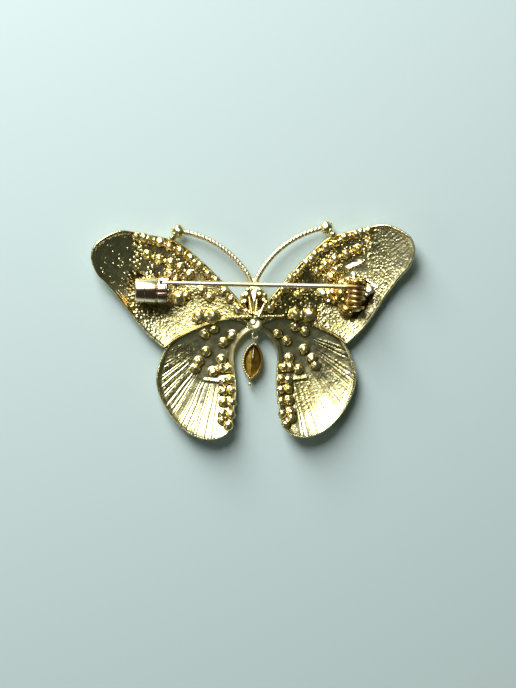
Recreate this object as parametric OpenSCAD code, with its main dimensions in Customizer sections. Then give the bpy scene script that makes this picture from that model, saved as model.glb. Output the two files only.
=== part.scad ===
// Butterfly brooch lying face down, with its pin and catch on top.
// Millimetres. X runs across the wings, Y from the tail to the antennae, Z up from the surface
// that it lies on. The origin is on that surface, below the middle of the brooch.

/* [Wings] */
// Wingspan, from tip to tip
wingspan = 58; // [52:0.5:64]
// Height of an upper wing, from its lower corner to its top edge
upper_height = 21.4; // [19:0.2:24]
// Reach of a lower wing, out from the middle of the brooch
lower_reach = 18; // [16:0.2:20]
// Length of a lower wing, from the body line to its lower end
lower_length = 19.42; // [17:0.2:22]
// Radius that the upper wings are dished to
upper_dish_r = 50; // [42:1:70]
// Radius that the lower wings are dished to
lower_dish_r = 48; // [40:1:70]
// Thickness of the wings' floor
wall = 1; // [0.8:0.05:1.4]
// Width of the raised rim round each wing
rim_w = 0.6; // [0.4:0.05:1]
// Height of the rim above the wing's floor, on the back
rim_h = 0.5; // [0.3:0.05:0.8]
// Height of the domes on the front, on which the brooch rests
front_h = 0.35; // [0.2:0.05:0.6]
// Height of the rim on the front
front_rim_h = 0.25; // [0.1:0.05:0.3]

/* [Ribs of the lower wings] */
// Number of ribs on each lower wing
rib_count = 26; // [16:1:32]
// Angle of the first rib below the horizontal
rib_first = 19; // [12:1:26]
// Angle of the last rib below the horizontal
rib_last = 80; // [70:1:84]
// Share of the ribs' spacing that is metal
rib_fill = 0.55; // [0.4:0.05:0.7]
// Height of the ribs above the wing's floor
rib_h = 0.3; // [0.15:0.05:0.45]

/* [Knobs] */
// Radius of a small knob behind a stone seat
knob_r = 0.7; // [0.5:0.05:0.8]
// Radius of a large knob
big_knob_r = 1.15; // [0.9:0.05:1.3]
// Radius of a dome on the front
dome_r = 0.95; // [0.8:0.05:1.2]

/* [Body] */
// Outer radius of the hollow thorax
thorax_r = 2.45; // [2.1:0.05:2.8]
// Thickness of the thorax's wall
thorax_wall = 0.7; // [0.5:0.05:0.9]
// Place of the thorax's middle, up from the body line
thorax_y = 5.2; // [4.8:0.05:5.6]
// Height of the thorax's rim above the surface
thorax_z = 3.3; // [3:0.05:3.6]
// Width of the head where the antennae meet
head_w = 1.6; // [1.2:0.1:2]
// Place of the head's middle, up from the body line
head_y = 9.2; // [8.7:0.05:9.7]
// Radius of the knot below the thorax
knot_r = 1.15; // [0.9:0.05:1.4]
// Place of the knot's middle, up from the body line
knot_y = 1.05; // [0.8:0.05:1.3]

/* [Antennae] */
// Radius of an antenna's wire
antenna_r = 0.43; // [0.3:0.01:0.6]
// Radius of the arc that an antenna follows
antenna_arc_r = 17.1; // [16:0.1:18]
// Direction from the arc's centre to the antenna's root, in degrees from the X axis
antenna_from = 152.25; // [149.25:0.25:155.25]
// Sweep of an antenna's arc from root to ball, in degrees
antenna_sweep = 54; // [48:0.5:58]
// Fall of an antenna from the head to its ball
antenna_fall = 1.3; // [0.6:0.1:1.8]
// Radius of the ball at an antenna's end
ball_r = 1.25; // [1:0.05:1.5]

/* [Pin] */
// Radius of the pin's wire
pin_r = 0.42; // [0.35:0.01:0.5]
// Radius of the pin where it enters the catch
pin_tip_r = 0.28; // [0.2:0.01:0.32]
// Length of the thinner part of the pin
pin_taper = 11; // [6:0.5:14]
// Height of the pin's centre line above the surface
pin_z = 6.2; // [5.8:0.1:7.2]
// Number of turns in the pin's knuckle
turns = 4; // [3:1:5]
// Radius of the knuckle's wire
turn_r = 0.5; // [0.42:0.01:0.55]
// Radius of the hinge's rivet
rivet_r = 0.5; // [0.4:0.02:0.6]
// Running clearance between turning pieces, on the radius
running = 0.04; // [0.02:0.01:0.08]
// Gap between faces that move past each other, or that lie side by side
gap = 0.1; // [0.06:0.01:0.15]

/* [Hinge] */
// Distance from the right wing's tip in to the rivet
hinge_inset = 10.7; // [9:0.1:12]
// Place of the pin's line at the rivet, up from the body line
hinge_y = 7.25; // [6.6:0.05:8]
// Thickness of the bracket's ears and of its back
ear_t = 0.55; // [0.4:0.05:0.8]
// Radius of the ears round the rivet
ear_r = 1.6; // [1.3:0.05:1.9]
// Length of the bracket's base in front of the rivet, towards the catch
base_front = 3.2; // [2.4:0.1:4]
// Height of the bracket's base above the surface
base_top = 3.2; // [2.8:0.05:3.4]

/* [Catch] */
// Distance from the left wing's tip in to the barrel's outer end
catch_inset = 8; // [7:0.1:9]
// Place of the pin's line at the barrel's outer end, up from the body line
catch_y = 9.05; // [8.4:0.05:9.6]
// Outer radius of the barrel and its collar
barrel_r = 2.3; // [2.1:0.05:2.5]
// Length of the fixed barrel
barrel_len = 3.9; // [3.4:0.1:4.6]
// Distance from the barrel's centre line to the pin's
catch_off = 1.42; // [1.34:0.02:1.5]
// Length of the turning collar
collar_len = 1.8; // [1.4:0.05:2.2]
// Thickness of the collar's wall and web
collar_wall = 0.4; // [0.3:0.02:0.5]
// Radius of the arbor that the collar turns on
arbor_r = 0.6; // [0.5:0.02:0.65]
// Reach of the collar's thumb tab past the barrel
tab_reach = 0.8; // [0.5:0.05:1.2]

/* [Abdomen] */
// Length of the marquise drop
drop_len = 7; // [6:0.1:8]
// Width of the marquise drop
drop_w = 3.7; // [3:0.1:4.4]
// Depth of the marquise drop
drop_h = 2.1; // [1.7:0.05:2.4]
// Lean of the drop to the left, in degrees
drop_lean = 8; // [0:0.5:12]
// Width of the drop's rim
drop_rim = 0.45; // [0.3:0.05:0.6]
// Radius of the link's wire
link_r = 0.18; // [0.14:0.01:0.2]
// Height of the link above the surface
link_z = 2; // [1.8:0.05:2.2]

/* [Hidden] */
$fn = 48;

GOLD = [0.86, 0.76, 0.48];
PALE = [0.93, 0.87, 0.66];
BROWN = [0.66, 0.5, 0.22];

far = 60;              // longer than any piece, for cutters
bite = 0.15;           // depth that a raised form is rooted in the metal below it
over = 1;              // how far a cutter runs past what it cuts
half_span = wingspan / 2;
outline_steps = 2;     // straight pieces between two points of an outline's table

// Upper wing's outline, as shares: [across half the wingspan, up the wing's height, 1 at a corner]
UPPER = [
    [0.010, 0.098, 1], [0.010, 0.125, 1], [0.036, 0.141, 0], [0.090, 0.252, 0], [0.172, 0.383, 0],
    [0.276, 0.537, 0], [0.379, 0.668, 0], [0.452, 0.748, 0], [0.517, 0.785, 0], [0.652, 0.827, 0],
    [0.731, 0.848, 0], [0.803, 0.864, 0], [0.869, 0.843, 0], [0.931, 0.799, 0], [0.977, 0.745, 0],
    [0.999, 0.668, 0], [0.996, 0.590, 0], [0.962, 0.491, 0], [0.914, 0.421, 0], [0.828, 0.278, 0],
    [0.690, 0.021, 0], [0.586, -0.114, 0], [0.562, -0.138, 1], [0.483, -0.061, 0],
    [0.379, 0.005, 0], [0.276, 0.056, 0], [0.172, 0.089, 0], [0.086, 0.094, 0]
];

// Lower wing's outline, as shares: [across the wing's reach, up its length, 1 at a corner].
// Its upper edge is hidden under the upper wing.
LOWER = [
    [0.033, 0.005, 1], [0.055, 0.082, 1], [0.250, 0.139, 0], [0.444, 0.108, 0], [0.611, 0.049, 0],
    [0.756, -0.015, 0], [0.856, -0.088, 0], [0.906, -0.160, 0], [0.950, -0.247, 0],
    [0.989, -0.371, 0], [0.998, -0.464, 0], [0.972, -0.577, 0], [0.911, -0.700, 0],
    [0.822, -0.819, 0], [0.694, -0.930, 0], [0.572, -0.984, 0], [0.467, -1.000, 0],
    [0.367, -0.984, 0], [0.294, -0.942, 0], [0.250, -0.865, 0], [0.222, -0.731, 0],
    [0.200, -0.592, 0], [0.197, -0.464, 0], [0.211, -0.319, 0], [0.214, -0.216, 0],
    [0.181, -0.131, 0], [0.117, -0.054, 0]
];

// Smooth panel of a lower wing that has no ribs, as shares of its reach and length
PANEL = [
    [0, 0.2], [0.54, 0.2], [0.54, -0.062], [0.55, -0.139], [0.606, -0.206], [0.644, -0.283],
    [0.528, -0.402], [0.533, -0.460], [0.355, -0.463], [0.361, -0.515], [0.389, -0.824],
    [0.300, -0.900], [0, -0.900]
];

// Small knobs of an upper wing, as shares: [across half the wingspan, up the wing's height]
UPPER_KNOBS = [
    [0.097, 0.178], [0.140, 0.262], [0.183, 0.336], [0.231, 0.425], [0.279, 0.477], [0.331, 0.556],
    [0.362, 0.579], [0.386, 0.621], [0.452, 0.682], [0.514, 0.720], [0.572, 0.762], [0.645, 0.785],
    [0.672, 0.799], [0.717, 0.813],
    [0.276, 0.285], [0.321, 0.341], [0.397, 0.477], [0.452, 0.540], [0.507, 0.579], [0.579, 0.617],
    [0.652, 0.659],
    [0.421, 0.304], [0.483, 0.435], [0.517, 0.486]
];
// Large knobs of an upper wing, in the same shares
UPPER_BIG = [[0.466, 0.280], [0.341, 0.121], [0.255, 0.126]];

// Small knobs of a lower wing, as shares: [across the wing's reach, up its length]
LOWER_KNOBS = [
    [0.500, -0.026], [0.406, 0.021], [0.228, -0.041], [0.317, -0.108], [0.489, -0.191],
    [0.567, -0.278], [0.600, -0.340], [0.339, -0.268], [0.283, -0.350], [0.344, -0.350],
    [0.428, -0.376], [0.256, -0.453], [0.322, -0.469], [0.244, -0.556], [0.322, -0.556],
    [0.244, -0.664], [0.328, -0.659], [0.256, -0.778], [0.339, -0.767], [0.344, -0.824],
    [0.283, -0.875]
];

// Lowest points of the dishes: each lies on a knob, and the brooch rests on the domes below them
UPPER_CROWN = UPPER_KNOBS[22];
LOWER_CROWN = LOWER_KNOBS[4];

// Knobs of a lower wing that have a dome opposite them on the front
LOWER_DOMES = [4, 11, 19];

// Point that the ribs fan out from, as shares of the lower wing's reach and length
RIB_CENTRE = [0.272, 0.026];

// Place on an upper wing's top edge where the antenna's ball is held, as shares
BALL_SEAT = [0.496, 0.785];

// Beads round the thorax's rim, as degrees from the X axis
THORAX_BEADS = [-8, 26, 62, 118, 154, 188];

function upper_at(s) = [s[0] * half_span, s[1] * upper_height];
function lower_at(s) = [s[0] * lower_reach, s[1] * lower_length];

// One point of a smooth curve from b to c, with a before and d after
function blend(a, b, c, d, t) =
    (2 * b + (c - a) * t + (2 * a - 5 * b + 4 * c - d) * t * t + (3 * b - a - 3 * c + d) * t * t * t) / 2;

// Smooth closed outline through a table's points, sharp only at its corners
function smooth(rows, steps) = let (n = len(rows), p = [for (r = rows) [r[0], r[1]]]) [
    for (i = [0 : n - 1])
        let (
            b = p[i], c = p[(i + 1) % n],
            a = rows[i][2] == 1 ? 2 * b - c : p[(i + n - 1) % n],
            d = rows[(i + 1) % n][2] == 1 ? 2 * c - b : p[(i + 2) % n]
        )
        for (k = [0 : steps - 1]) blend(a, b, c, d, k / steps)
];

// Height of a dish's surface above its lowest point, at a place on it
function sag(p, crown, r) = r - sqrt(r * r - pow(p[0] - crown[0], 2) - pow(p[1] - crown[1], 2));

function upper_floor(p) = front_h + wall + sag(p, upper_at(UPPER_CROWN), upper_dish_r);
function lower_floor(p) = front_h + wall + sag(p, lower_at(LOWER_CROWN), lower_dish_r);

// Head and antennae: an antenna's root lies in the head
head_z = thorax_z + thorax_wall / 7;
antenna_root = [head_w * 0.375, head_y, head_z];
antenna_chord = 2 * antenna_arc_r * sin(antenna_sweep / 2);
antenna_head = antenna_from - 90 - antenna_sweep / 2;    // heading of the chord
antenna_tilt = asin(antenna_fall / antenna_chord);
ball_place = antenna_root + [
    antenna_chord * cos(antenna_tilt) * cos(antenna_head),
    antenna_chord * cos(antenna_tilt) * sin(antenna_head),
    -antenna_fall
];

// Clasp: the pin's line runs from the rivet to the barrel
hinge_x = half_span - hinge_inset;
barrel_end_x = -(half_span - catch_inset);
pin_angle = atan((catch_y - hinge_y) / (barrel_end_x - hinge_x));
pin_run = norm([hinge_x - barrel_end_x, catch_y - hinge_y]);
turn_path_r = rivet_r + running + 1.16 * turn_r;    // from the rivet's axis to the knuckle's wire
knuckle_r = turn_path_r + turn_r;
pivot_z = pin_z - turn_path_r;
pitch = 1.9 * turn_r;                        // the turns press a little into each other
knuckle_far = (turns - 1) * pitch + turn_r;  // from the pin's line to the knuckle's far end
ear_near_y = turn_r + gap;                   // inner faces of the two ears, from the pin's line
ear_far_y = -knuckle_far - gap;
stop_x = knuckle_r + 2 * gap;                // inner face of the bracket's back
stub_r = 0.9 * turn_r;                       // where the wire leaves the knuckle
stem_start = ear_r + 2 * turn_r;             // where the plain wire begins, clear of the ears
point = 1.2;                                 // length of the pin's sharp point
collar_start = barrel_len + gap;             // the collar's web, from the barrel's outer end
tip_start = collar_start + collar_wall + gap;
pin_len = pin_run - tip_start;
arbor_end = collar_start + collar_len + gap;
sleeve_r = arbor_r + running + 0.7 * collar_wall;    // outer radius of the collar's sleeve

// Drop: the link hangs from the knot's eye and carries the drop's eye
eye_hole = 1.5 * link_r;
eye_r = eye_hole + 1.3 * link_r;
eye_t = 1.6 * link_r;
link_half = eye_t / 2 + gap / 2 + link_r;         // from the link's middle line to its wire
eye_top_y = knot_y - knot_r - eye_hole;
eye_low_y = eye_top_y - 2 * eye_r - gap;
drop_top = eye_r + gap / 2;                       // from the drop's eye to its tip
drop_bottom_z = link_z - drop_h * 6 / 7;

// Places a clasp piece: x from the rivet, y from the pin's line, z from the surface
module at_clasp() {
    translate([hinge_x, hinge_y, 0]) rotate([0, 0, pin_angle]) children();
}

// Places a piece round the rivet's axis: its own z runs from the pin's line to the far ear
module at_rivet() {
    at_clasp() translate([0, 0, pivot_z]) rotate([90, 0, 0]) children();
}

// Places a catch piece along the barrel's axis: its own z runs from the outer end to the rivet,
// its x towards the antennae and its y up
module at_barrel() {
    at_clasp() translate([-pin_run, -catch_off, pin_z]) rotate([90, 0, 90]) children();
}

module ball_at(crown, r, outer_r) {
    translate([crown[0], crown[1], front_h + outer_r]) sphere(r = r);
}

module prism(points) {
    translate([0, 0, -over]) linear_extrude(height = far / 4) polygon(points);
}

module rod(a, b, r) {
    d = b - a;
    translate(a) rotate([0, acos(d[2] / norm(d)), atan2(d[1], d[0])]) cylinder(r = r, h = norm(d));
}

module tube(r, inner_r, h) {
    difference() {
        cylinder(r = r, h = h);
        translate([0, 0, -over]) cylinder(r = inner_r, h = h + 2 * over);
    }
}

// Dished plate with a raised rim on both faces
module dished(points, crown, dish_r) {
    difference() {
        intersection() {
            prism(points);
            ball_at(crown, dish_r + front_rim_h, dish_r);
        }
        ball_at(crown, dish_r - wall - rim_h, dish_r);
        intersection() {
            translate([0, 0, -over / 2]) linear_extrude(height = far / 5)
                offset(r = -rim_w) polygon(points);
            union() {
                ball_at(crown, dish_r - wall, dish_r);
                difference() {
                    ball_at(crown, dish_r + 2 * wall, dish_r);
                    ball_at(crown, dish_r, dish_r);
                }
            }
        }
    }
}

// A knob on the back
module knob(p, floor_z, r) {
    translate([p[0], p[1], floor_z]) sphere(r = r);
}

// A dome on the front
module dome(p, floor_z, r) {
    translate([p[0], p[1], floor_z - wall - front_h + r]) sphere(r = r);
}

module upper_wing() {
    dished(
        smooth([for (s = UPPER) concat(upper_at(s), s[2])], outline_steps),
        upper_at(UPPER_CROWN), upper_dish_r
    );
    for (s = UPPER_KNOBS) knob(upper_at(s), upper_floor(upper_at(s)), knob_r);
    for (s = UPPER_BIG) {
        knob(upper_at(s), upper_floor(upper_at(s)), big_knob_r);
        dome(upper_at(s), upper_floor(upper_at(s)), dome_r);
    }
    dome(upper_at(UPPER_CROWN), upper_floor(upper_at(UPPER_CROWN)), dome_r);
}

module rib_fan() {
    centre = lower_at(RIB_CENTRE);
    step = (rib_last - rib_first) / (rib_count - 1);
    half = step * rib_fill / 2;
    reach = far / 2;
    for (i = [0 : rib_count - 1]) {
        a = rib_first + i * step;
        polygon([
            centre,
            centre + reach * [cos(a - half), -sin(a - half)],
            centre + reach * [cos(a + half), -sin(a + half)]
        ]);
    }
}

// Ribs on the back, inside the rim
module ribs(points) {
    crown = lower_at(LOWER_CROWN);
    intersection() {
        translate([0, 0, -over / 2]) linear_extrude(height = far / 5) intersection() {
            difference() {
                rib_fan();
                polygon([for (s = PANEL) lower_at(s)]);
            }
            offset(r = bite - rim_w) polygon(points);
        }
        difference() {
            ball_at(crown, lower_dish_r - wall + bite, lower_dish_r);
            ball_at(crown, lower_dish_r - wall - rib_h, lower_dish_r);
        }
    }
}

module lower_wing() {
    points = smooth([for (s = LOWER) concat(lower_at(s), s[2])], outline_steps);
    dished(points, lower_at(LOWER_CROWN), lower_dish_r);
    ribs(points);
    for (s = LOWER_KNOBS) knob(lower_at(s), lower_floor(lower_at(s)), knob_r);
    for (i = LOWER_DOMES) dome(lower_at(LOWER_KNOBS[i]), lower_floor(lower_at(LOWER_KNOBS[i])), dome_r);
}

// Hollow thorax, open on the back, with beads on its rim
module thorax() {
    translate([0, thorax_y, thorax_z]) {
        difference() {
            sphere(r = thorax_r);
            sphere(r = thorax_r - thorax_wall);
            translate([-far / 2, -far / 2, 0]) cube([far, far, far]);
        }
        rotate_extrude() translate([thorax_r - thorax_wall / 2, 0]) circle(r = thorax_wall * 0.6);
        for (a = THORAX_BEADS)
            rotate([0, 0, a]) translate([thorax_r - thorax_wall * 0.4, 0, bite]) sphere(r = thorax_wall * 0.75);
    }
}

// Head, and the rib that tapers from it across the thorax's opening
module head() {
    rib_end = [0, thorax_y - thorax_r * 0.8, head_z];
    translate([0, head_y, head_z]) {
        sphere(r = head_w / 2);
        rotate([90, 0, 0]) cylinder(r1 = head_w / 2, r2 = head_w * 0.14, h = head_y - rib_end[1]);
    }
    translate(rib_end) sphere(r = head_w * 0.25);
}

// Knot that joins the four wings, with the eye that the drop's link hangs from
module knot() {
    low_z = lower_floor([0, knot_y]) - wall;
    translate([0, knot_y, low_z]) cylinder(r = knot_r, h = head_z - low_z);
    translate([0, knot_y, low_z]) sphere(r = knot_r);
    translate([0, knot_y, head_z]) sphere(r = knot_r);
    translate([-eye_t / 2, eye_top_y, link_z]) rotate([0, 90, 0]) difference() {
        union() {
            cylinder(r = eye_r, h = eye_t);
            translate([-eye_r, 0, 0]) cube([2 * eye_r, knot_y - eye_top_y, eye_t]);
        }
        translate([0, 0, -over]) cylinder(r = eye_hole, h = eye_t + 2 * over);
    }
}

module antenna() {
    translate(antenna_root) rotate(a = antenna_tilt, v = [-sin(antenna_head), cos(antenna_head), 0])
        translate(-antenna_arc_r * [cos(antenna_from), sin(antenna_from), 0])
            rotate([0, 0, antenna_from - antenna_sweep]) rotate_extrude(angle = antenna_sweep)
                translate([antenna_arc_r, 0]) circle(r = antenna_r);
    translate(ball_place) sphere(r = ball_r);
    seat = upper_at(BALL_SEAT);
    seat_z = upper_floor(seat) - wall / 2;
    rod(ball_place, [seat[0], seat[1], seat_z], ball_r * 0.5);
    translate([seat[0], seat[1], seat_z + wall]) sphere(r = knob_r);
}

// Keeps what stands on a wing above the middle of its wall
module on_wing(side) {
    crown = upper_at(UPPER_CROWN);
    intersection() {
        children();
        ball_at([side * crown[0], crown[1]], upper_dish_r - wall / 2, upper_dish_r);
    }
}

// Base, two ears and a back that stops the pin's knuckle, round the rivet
module hinge_bracket() {
    inner = ear_near_y - ear_far_y;
    back = stop_x + ear_t;
    low = ear_far_y - 1.6 * ear_t;
    on_wing(1) at_clasp() translate([-base_front, low, 0])
        cube([base_front + back, ear_near_y - low + 1.6 * ear_t, base_top]);
    difference() {
        union() {
            for (y = [ear_near_y + ear_t, ear_far_y]) at_clasp() translate([0, y, 0]) rotate([90, 0, 0]) {
                translate([0, pivot_z, 0]) cylinder(r = ear_r, h = ear_t);
                translate([-ear_r, base_top - bite, 0]) cube([ear_r + back, pivot_z - base_top + bite, ear_t]);
            }
            at_clasp() translate([stop_x, ear_far_y - bite, base_top - bite])
                cube([ear_t, inner + 2 * bite, pivot_z - base_top + bite]);
            at_clasp() translate([back, ear_near_y + ear_t, pivot_z]) rotate([90, 0, 0])
                cylinder(r = ear_t * 0.9, h = inner + 2 * ear_t);
        }
        at_rivet() translate([0, 0, -far / 2]) cylinder(r = rivet_r + running, h = far);
        at_rivet() translate([0, 0, -ear_near_y]) cylinder(r = knuckle_r + gap, h = inner);
    }
}

module hinge_rivet() color(PALE) {
    head_h = 0.7 * rivet_r;
    near = -(ear_near_y + ear_t + gap / 2);
    length = ear_near_y - ear_far_y + 2 * ear_t + gap;
    at_rivet() translate([0, 0, near]) {
        cylinder(r = rivet_r, h = length);
        translate([0, 0, -head_h]) cylinder(r1 = rivet_r, r2 = 1.9 * rivet_r, h = head_h);
        translate([0, 0, length]) cylinder(r1 = 1.9 * rivet_r, r2 = rivet_r, h = head_h);
    }
}

module pin_stem() color(PALE) {
    at_rivet() {
        for (i = [0 : turns - 1]) translate([0, 0, i * pitch])
            rotate_extrude() translate([turn_path_r, 0]) circle(r = turn_r);
        translate([0, 0, -turn_r * 0.6])
            tube(turn_path_r, rivet_r + running, knuckle_far + turn_r * 0.2);
    }
    at_clasp() translate([0, 0, pin_z]) rotate([0, -90, 0]) {
        translate([0, 0, -bite]) cylinder(r1 = stub_r, r2 = pin_r, h = stem_start + bite);
        translate([0, 0, stem_start]) cylinder(r = pin_r, h = pin_len - pin_taper - stem_start);
        translate([0, 0, pin_len - pin_taper]) cylinder(r1 = pin_r, r2 = pin_tip_r, h = pin_taper - point);
        translate([0, 0, pin_len - point]) cylinder(r1 = pin_tip_r, r2 = pin_tip_r / 4, h = point);
    }
}

// Barrel on its foot, with the arbor that the collar turns on
module catch_barrel() {
    seam = barrel_len * 0.42;
    edge = collar_wall;
    groove = 0.3 * collar_wall;
    at_barrel() {
        rotate_extrude() polygon([
            [0, 0], [barrel_r - edge, 0], [barrel_r - 0.3 * edge, 0.3 * edge], [barrel_r, edge],
            [barrel_r, seam], [barrel_r - groove, seam + groove], [barrel_r, seam + 2 * groove],
            [barrel_r, barrel_len - groove], [barrel_r - groove, barrel_len], [0, barrel_len]
        ]);
        translate([0, 0, barrel_len - bite]) cylinder(r = arbor_r, h = arbor_end - barrel_len + 2 * bite);
        translate([0, 0, arbor_end]) cylinder(r1 = sleeve_r, r2 = arbor_r * 0.5, h = arbor_r * 1.2);
    }
    on_wing(-1) at_barrel() translate([-barrel_r / 2, -pin_z, barrel_len * 0.15])
        cube([barrel_r, pin_z, barrel_len * 0.7]);
}

// Collar that turns over the pin's tip, open on one side at rest, with its thumb tab
module catch_rotor() color(GOLD) {
    tab_w = 1.25 * collar_wall;
    clear = pin_tip_r + gap;
    at_barrel() translate([0, 0, collar_start]) {
        difference() {
            cylinder(r = barrel_r, h = collar_len);
            translate([0, 0, -over]) cylinder(r = arbor_r + running, h = far);
            translate([0, 0, collar_wall]) tube(barrel_r - collar_wall, sleeve_r, far);
            translate([catch_off - clear, -clear - gap, collar_wall]) cube([barrel_r, far, far]);
        }
        rotate([0, 0, 14]) translate([-tab_w / 2, barrel_r - bite, 0])
            cube([tab_w, tab_reach + bite, collar_len]);
    }
}

module drop_link() color(GOLD) {
    run = eye_top_y - eye_low_y - 2 * link_half;
    translate([0, eye_top_y - link_half, link_z]) {
        rotate_extrude(angle = 180) translate([link_half, 0]) circle(r = link_r);
        for (x = [-link_half, link_half]) translate([x, 0, 0]) rotate([90, 0, 0]) cylinder(r = link_r, h = run);
        translate([0, -run, 0]) rotate([0, 0, 180])
            rotate_extrude(angle = 180) translate([link_half, 0]) circle(r = link_r);
    }
}

// Pointed oval between two arcs, hanging down from the origin
module marquise(length, width) {
    arc_r = (length * length / 4 + width * width / 4) / width;
    translate([0, -length / 2]) intersection() {
        translate([arc_r - width / 2, 0]) circle(r = arc_r);
        translate([width / 2 - arc_r, 0]) circle(r = arc_r);
    }
}

// Drop with a domed front and a hollow back that has a short ridge, and a bead at its tip
module abdomen_drop() color(BROWN) {
    floor_z = drop_h * 0.6;
    ridge = 0.75 * drop_rim;
    tip_r = 0.095 * drop_w;
    tip_z = drop_h * 0.7;
    rise = drop_h * 0.4;                                      // of the front, from middle to tips
    front_r = (pow(drop_len / 2, 2) + rise * rise) / (2 * rise);
    translate([0, eye_low_y, 0]) rotate([0, 0, -drop_lean]) {
        translate([0, -drop_top, drop_bottom_z]) {
            difference() {
                intersection() {
                    linear_extrude(height = drop_h) marquise(drop_len, drop_w);
                    translate([0, -drop_len / 2, front_r]) sphere(r = front_r);
                }
                translate([0, -drop_rim * 2, floor_z])
                    linear_extrude(height = far) marquise(drop_len - 4 * drop_rim, drop_w - 2 * drop_rim);
            }
            translate([-ridge / 2, -drop_len * 0.5, floor_z - bite]) cube([ridge, drop_len * 0.38, ridge + bite]);
            translate([0, drop_rim - drop_len, tip_z]) rotate([90, 0, 0])
                cylinder(r = tip_r * 0.6, h = drop_rim + 2 * tip_r);
            translate([0, -drop_len - 2 * tip_r, tip_z]) sphere(r = tip_r);
        }
        translate([-eye_t / 2, 0, link_z]) rotate([0, 90, 0]) difference() {
            union() {
                cylinder(r = eye_r, h = eye_t);
                translate([-eye_r / 2, -drop_top - 2 * drop_rim, 0])
                    cube([eye_r, drop_top + 2 * drop_rim, eye_t]);
            }
            translate([0, 0, -over]) cylinder(r = eye_hole, h = eye_t + 2 * over);
        }
    }
}

module casting() color(GOLD) {
    for (side = [0, 1]) mirror([side, 0, 0]) {
        upper_wing();
        lower_wing();
        antenna();
    }
    thorax();
    head();
    knot();
    hinge_bracket();
    catch_barrel();
}

casting();
hinge_rivet();
pin_stem();
catch_rotor();
drop_link();
abdomen_drop();
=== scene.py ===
# Butterfly brooch lying face down, with its coiled pin and turning catch on the back

import math

import bmesh
import bpy
import numpy as np
from mathutils import Matrix, Vector, noise


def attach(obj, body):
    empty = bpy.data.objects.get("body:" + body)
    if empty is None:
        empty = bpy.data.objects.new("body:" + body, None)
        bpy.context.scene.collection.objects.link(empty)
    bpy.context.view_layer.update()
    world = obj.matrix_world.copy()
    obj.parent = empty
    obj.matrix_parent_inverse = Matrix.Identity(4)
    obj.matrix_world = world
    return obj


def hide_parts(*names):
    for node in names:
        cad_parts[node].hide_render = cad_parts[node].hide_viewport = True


mm = 0.001  # pieces are drawn in millimetres and turned into metres when they are finished
mergeGap = 0.0004  # vertices closer than this are one
sides = ((1, "Right"), (-1, "Left"))
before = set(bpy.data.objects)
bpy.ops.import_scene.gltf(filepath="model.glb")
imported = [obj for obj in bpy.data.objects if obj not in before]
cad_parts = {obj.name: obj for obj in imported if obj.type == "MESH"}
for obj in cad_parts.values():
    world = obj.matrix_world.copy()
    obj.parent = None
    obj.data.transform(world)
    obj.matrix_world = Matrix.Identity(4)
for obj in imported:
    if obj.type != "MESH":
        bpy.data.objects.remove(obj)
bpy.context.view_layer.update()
print("frame loaded:", sorted(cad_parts))

# sizes that the wings share with the rest of the brooch
wings = {
    "frontHeight": 0.35,
    "wall": 1.0,
    "rimHeight": 0.24,
    "rimGrain": 0.02,
    "frontRim": 0.25,
    "edgeRound": 0.22,
    "padFlat": 0.15,
    "padSlope": 0.75,
    "frontGrainy": 0.4,
    "outlineSteps": 8,
    "sharp": 80,
}


# soft steps and bands


def ease(t):
    t = np.clip(t, 0, 1)
    return t * t * (3 - 2 * t)


def rises(value, start, width):  # 0 up to the start, 1 a width later
    return ease((value - start) / width)


def falls(value, end, width):  # 1 up to a width before the end, then down to 0
    return ease((end - value) / width)


def bell(distance, width):
    return np.exp(-(distance / width) ** 2)


def patch(x, y, left=None, right=None, low=None, high=None):  # each side is a place and a soft width
    mask = np.ones(x.shape)
    for value, step, side in ((x, rises, left), (x, falls, right), (y, rises, low), (y, falls, high)):
        if side:
            mask *= step(value, *side)
    return mask


# shapes


def madeVerts(geometry):
    return [g for g in geometry if isinstance(g, bmesh.types.BMVert)]


def madeEdges(geometry):
    return [g for g in geometry if isinstance(g, bmesh.types.BMEdge)]


def addPart(bm, part, place):  # a shape drawn by itself goes into a piece
    bmesh.ops.transform(part, matrix=place, verts=part.verts)
    mesh = bpy.data.meshes.new("part")
    part.to_mesh(mesh)
    part.free()
    bm.from_mesh(mesh)
    bpy.data.meshes.remove(mesh)


def finishPiece(name, bm, material, body="brooch", node="casting", sharp=55):
    bmesh.ops.remove_doubles(bm, verts=bm.verts, dist=mergeGap)
    bmesh.ops.recalc_face_normals(bm, faces=bm.faces)
    bmesh.ops.scale(bm, vec=(mm, mm, mm), verts=bm.verts)
    mesh = bpy.data.meshes.new(name)
    bm.to_mesh(mesh)
    bm.free()
    for face in mesh.polygons:
        face.use_smooth = True
    mesh.set_sharp_from_angle(angle=math.radians(sharp))
    mesh.materials.append(material)
    piece = bpy.data.objects.new(name, mesh)
    bpy.context.scene.collection.objects.link(piece)
    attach(piece, body)
    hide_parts(node)


def forSide(bm, side):  # the left side is the right side's mirror image
    if side < 0:
        bmesh.ops.scale(bm, vec=(-1, 1, 1), verts=bm.verts)
    return bm


def paintFrom(bm, layer, first, value):  # one value for the vertices added since there were that many
    for v in bm.verts[:][first:]:
        v[layer] = value


def roundEdges(bm, edges, offset, segments):
    bmesh.ops.bevel(bm, geom=edges, offset=offset, offset_type="OFFSET", affect="EDGES", segments=segments,
                    profile=0.5, material=-1)


def raiseFace(bm, corners):  # extrudes a flat face and gives back its copy's vertices
    face = bm.faces.new([bm.verts.new(corner) for corner in corners])
    return madeVerts(bmesh.ops.extrude_face_region(bm, geom=[face])["geom"])


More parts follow.
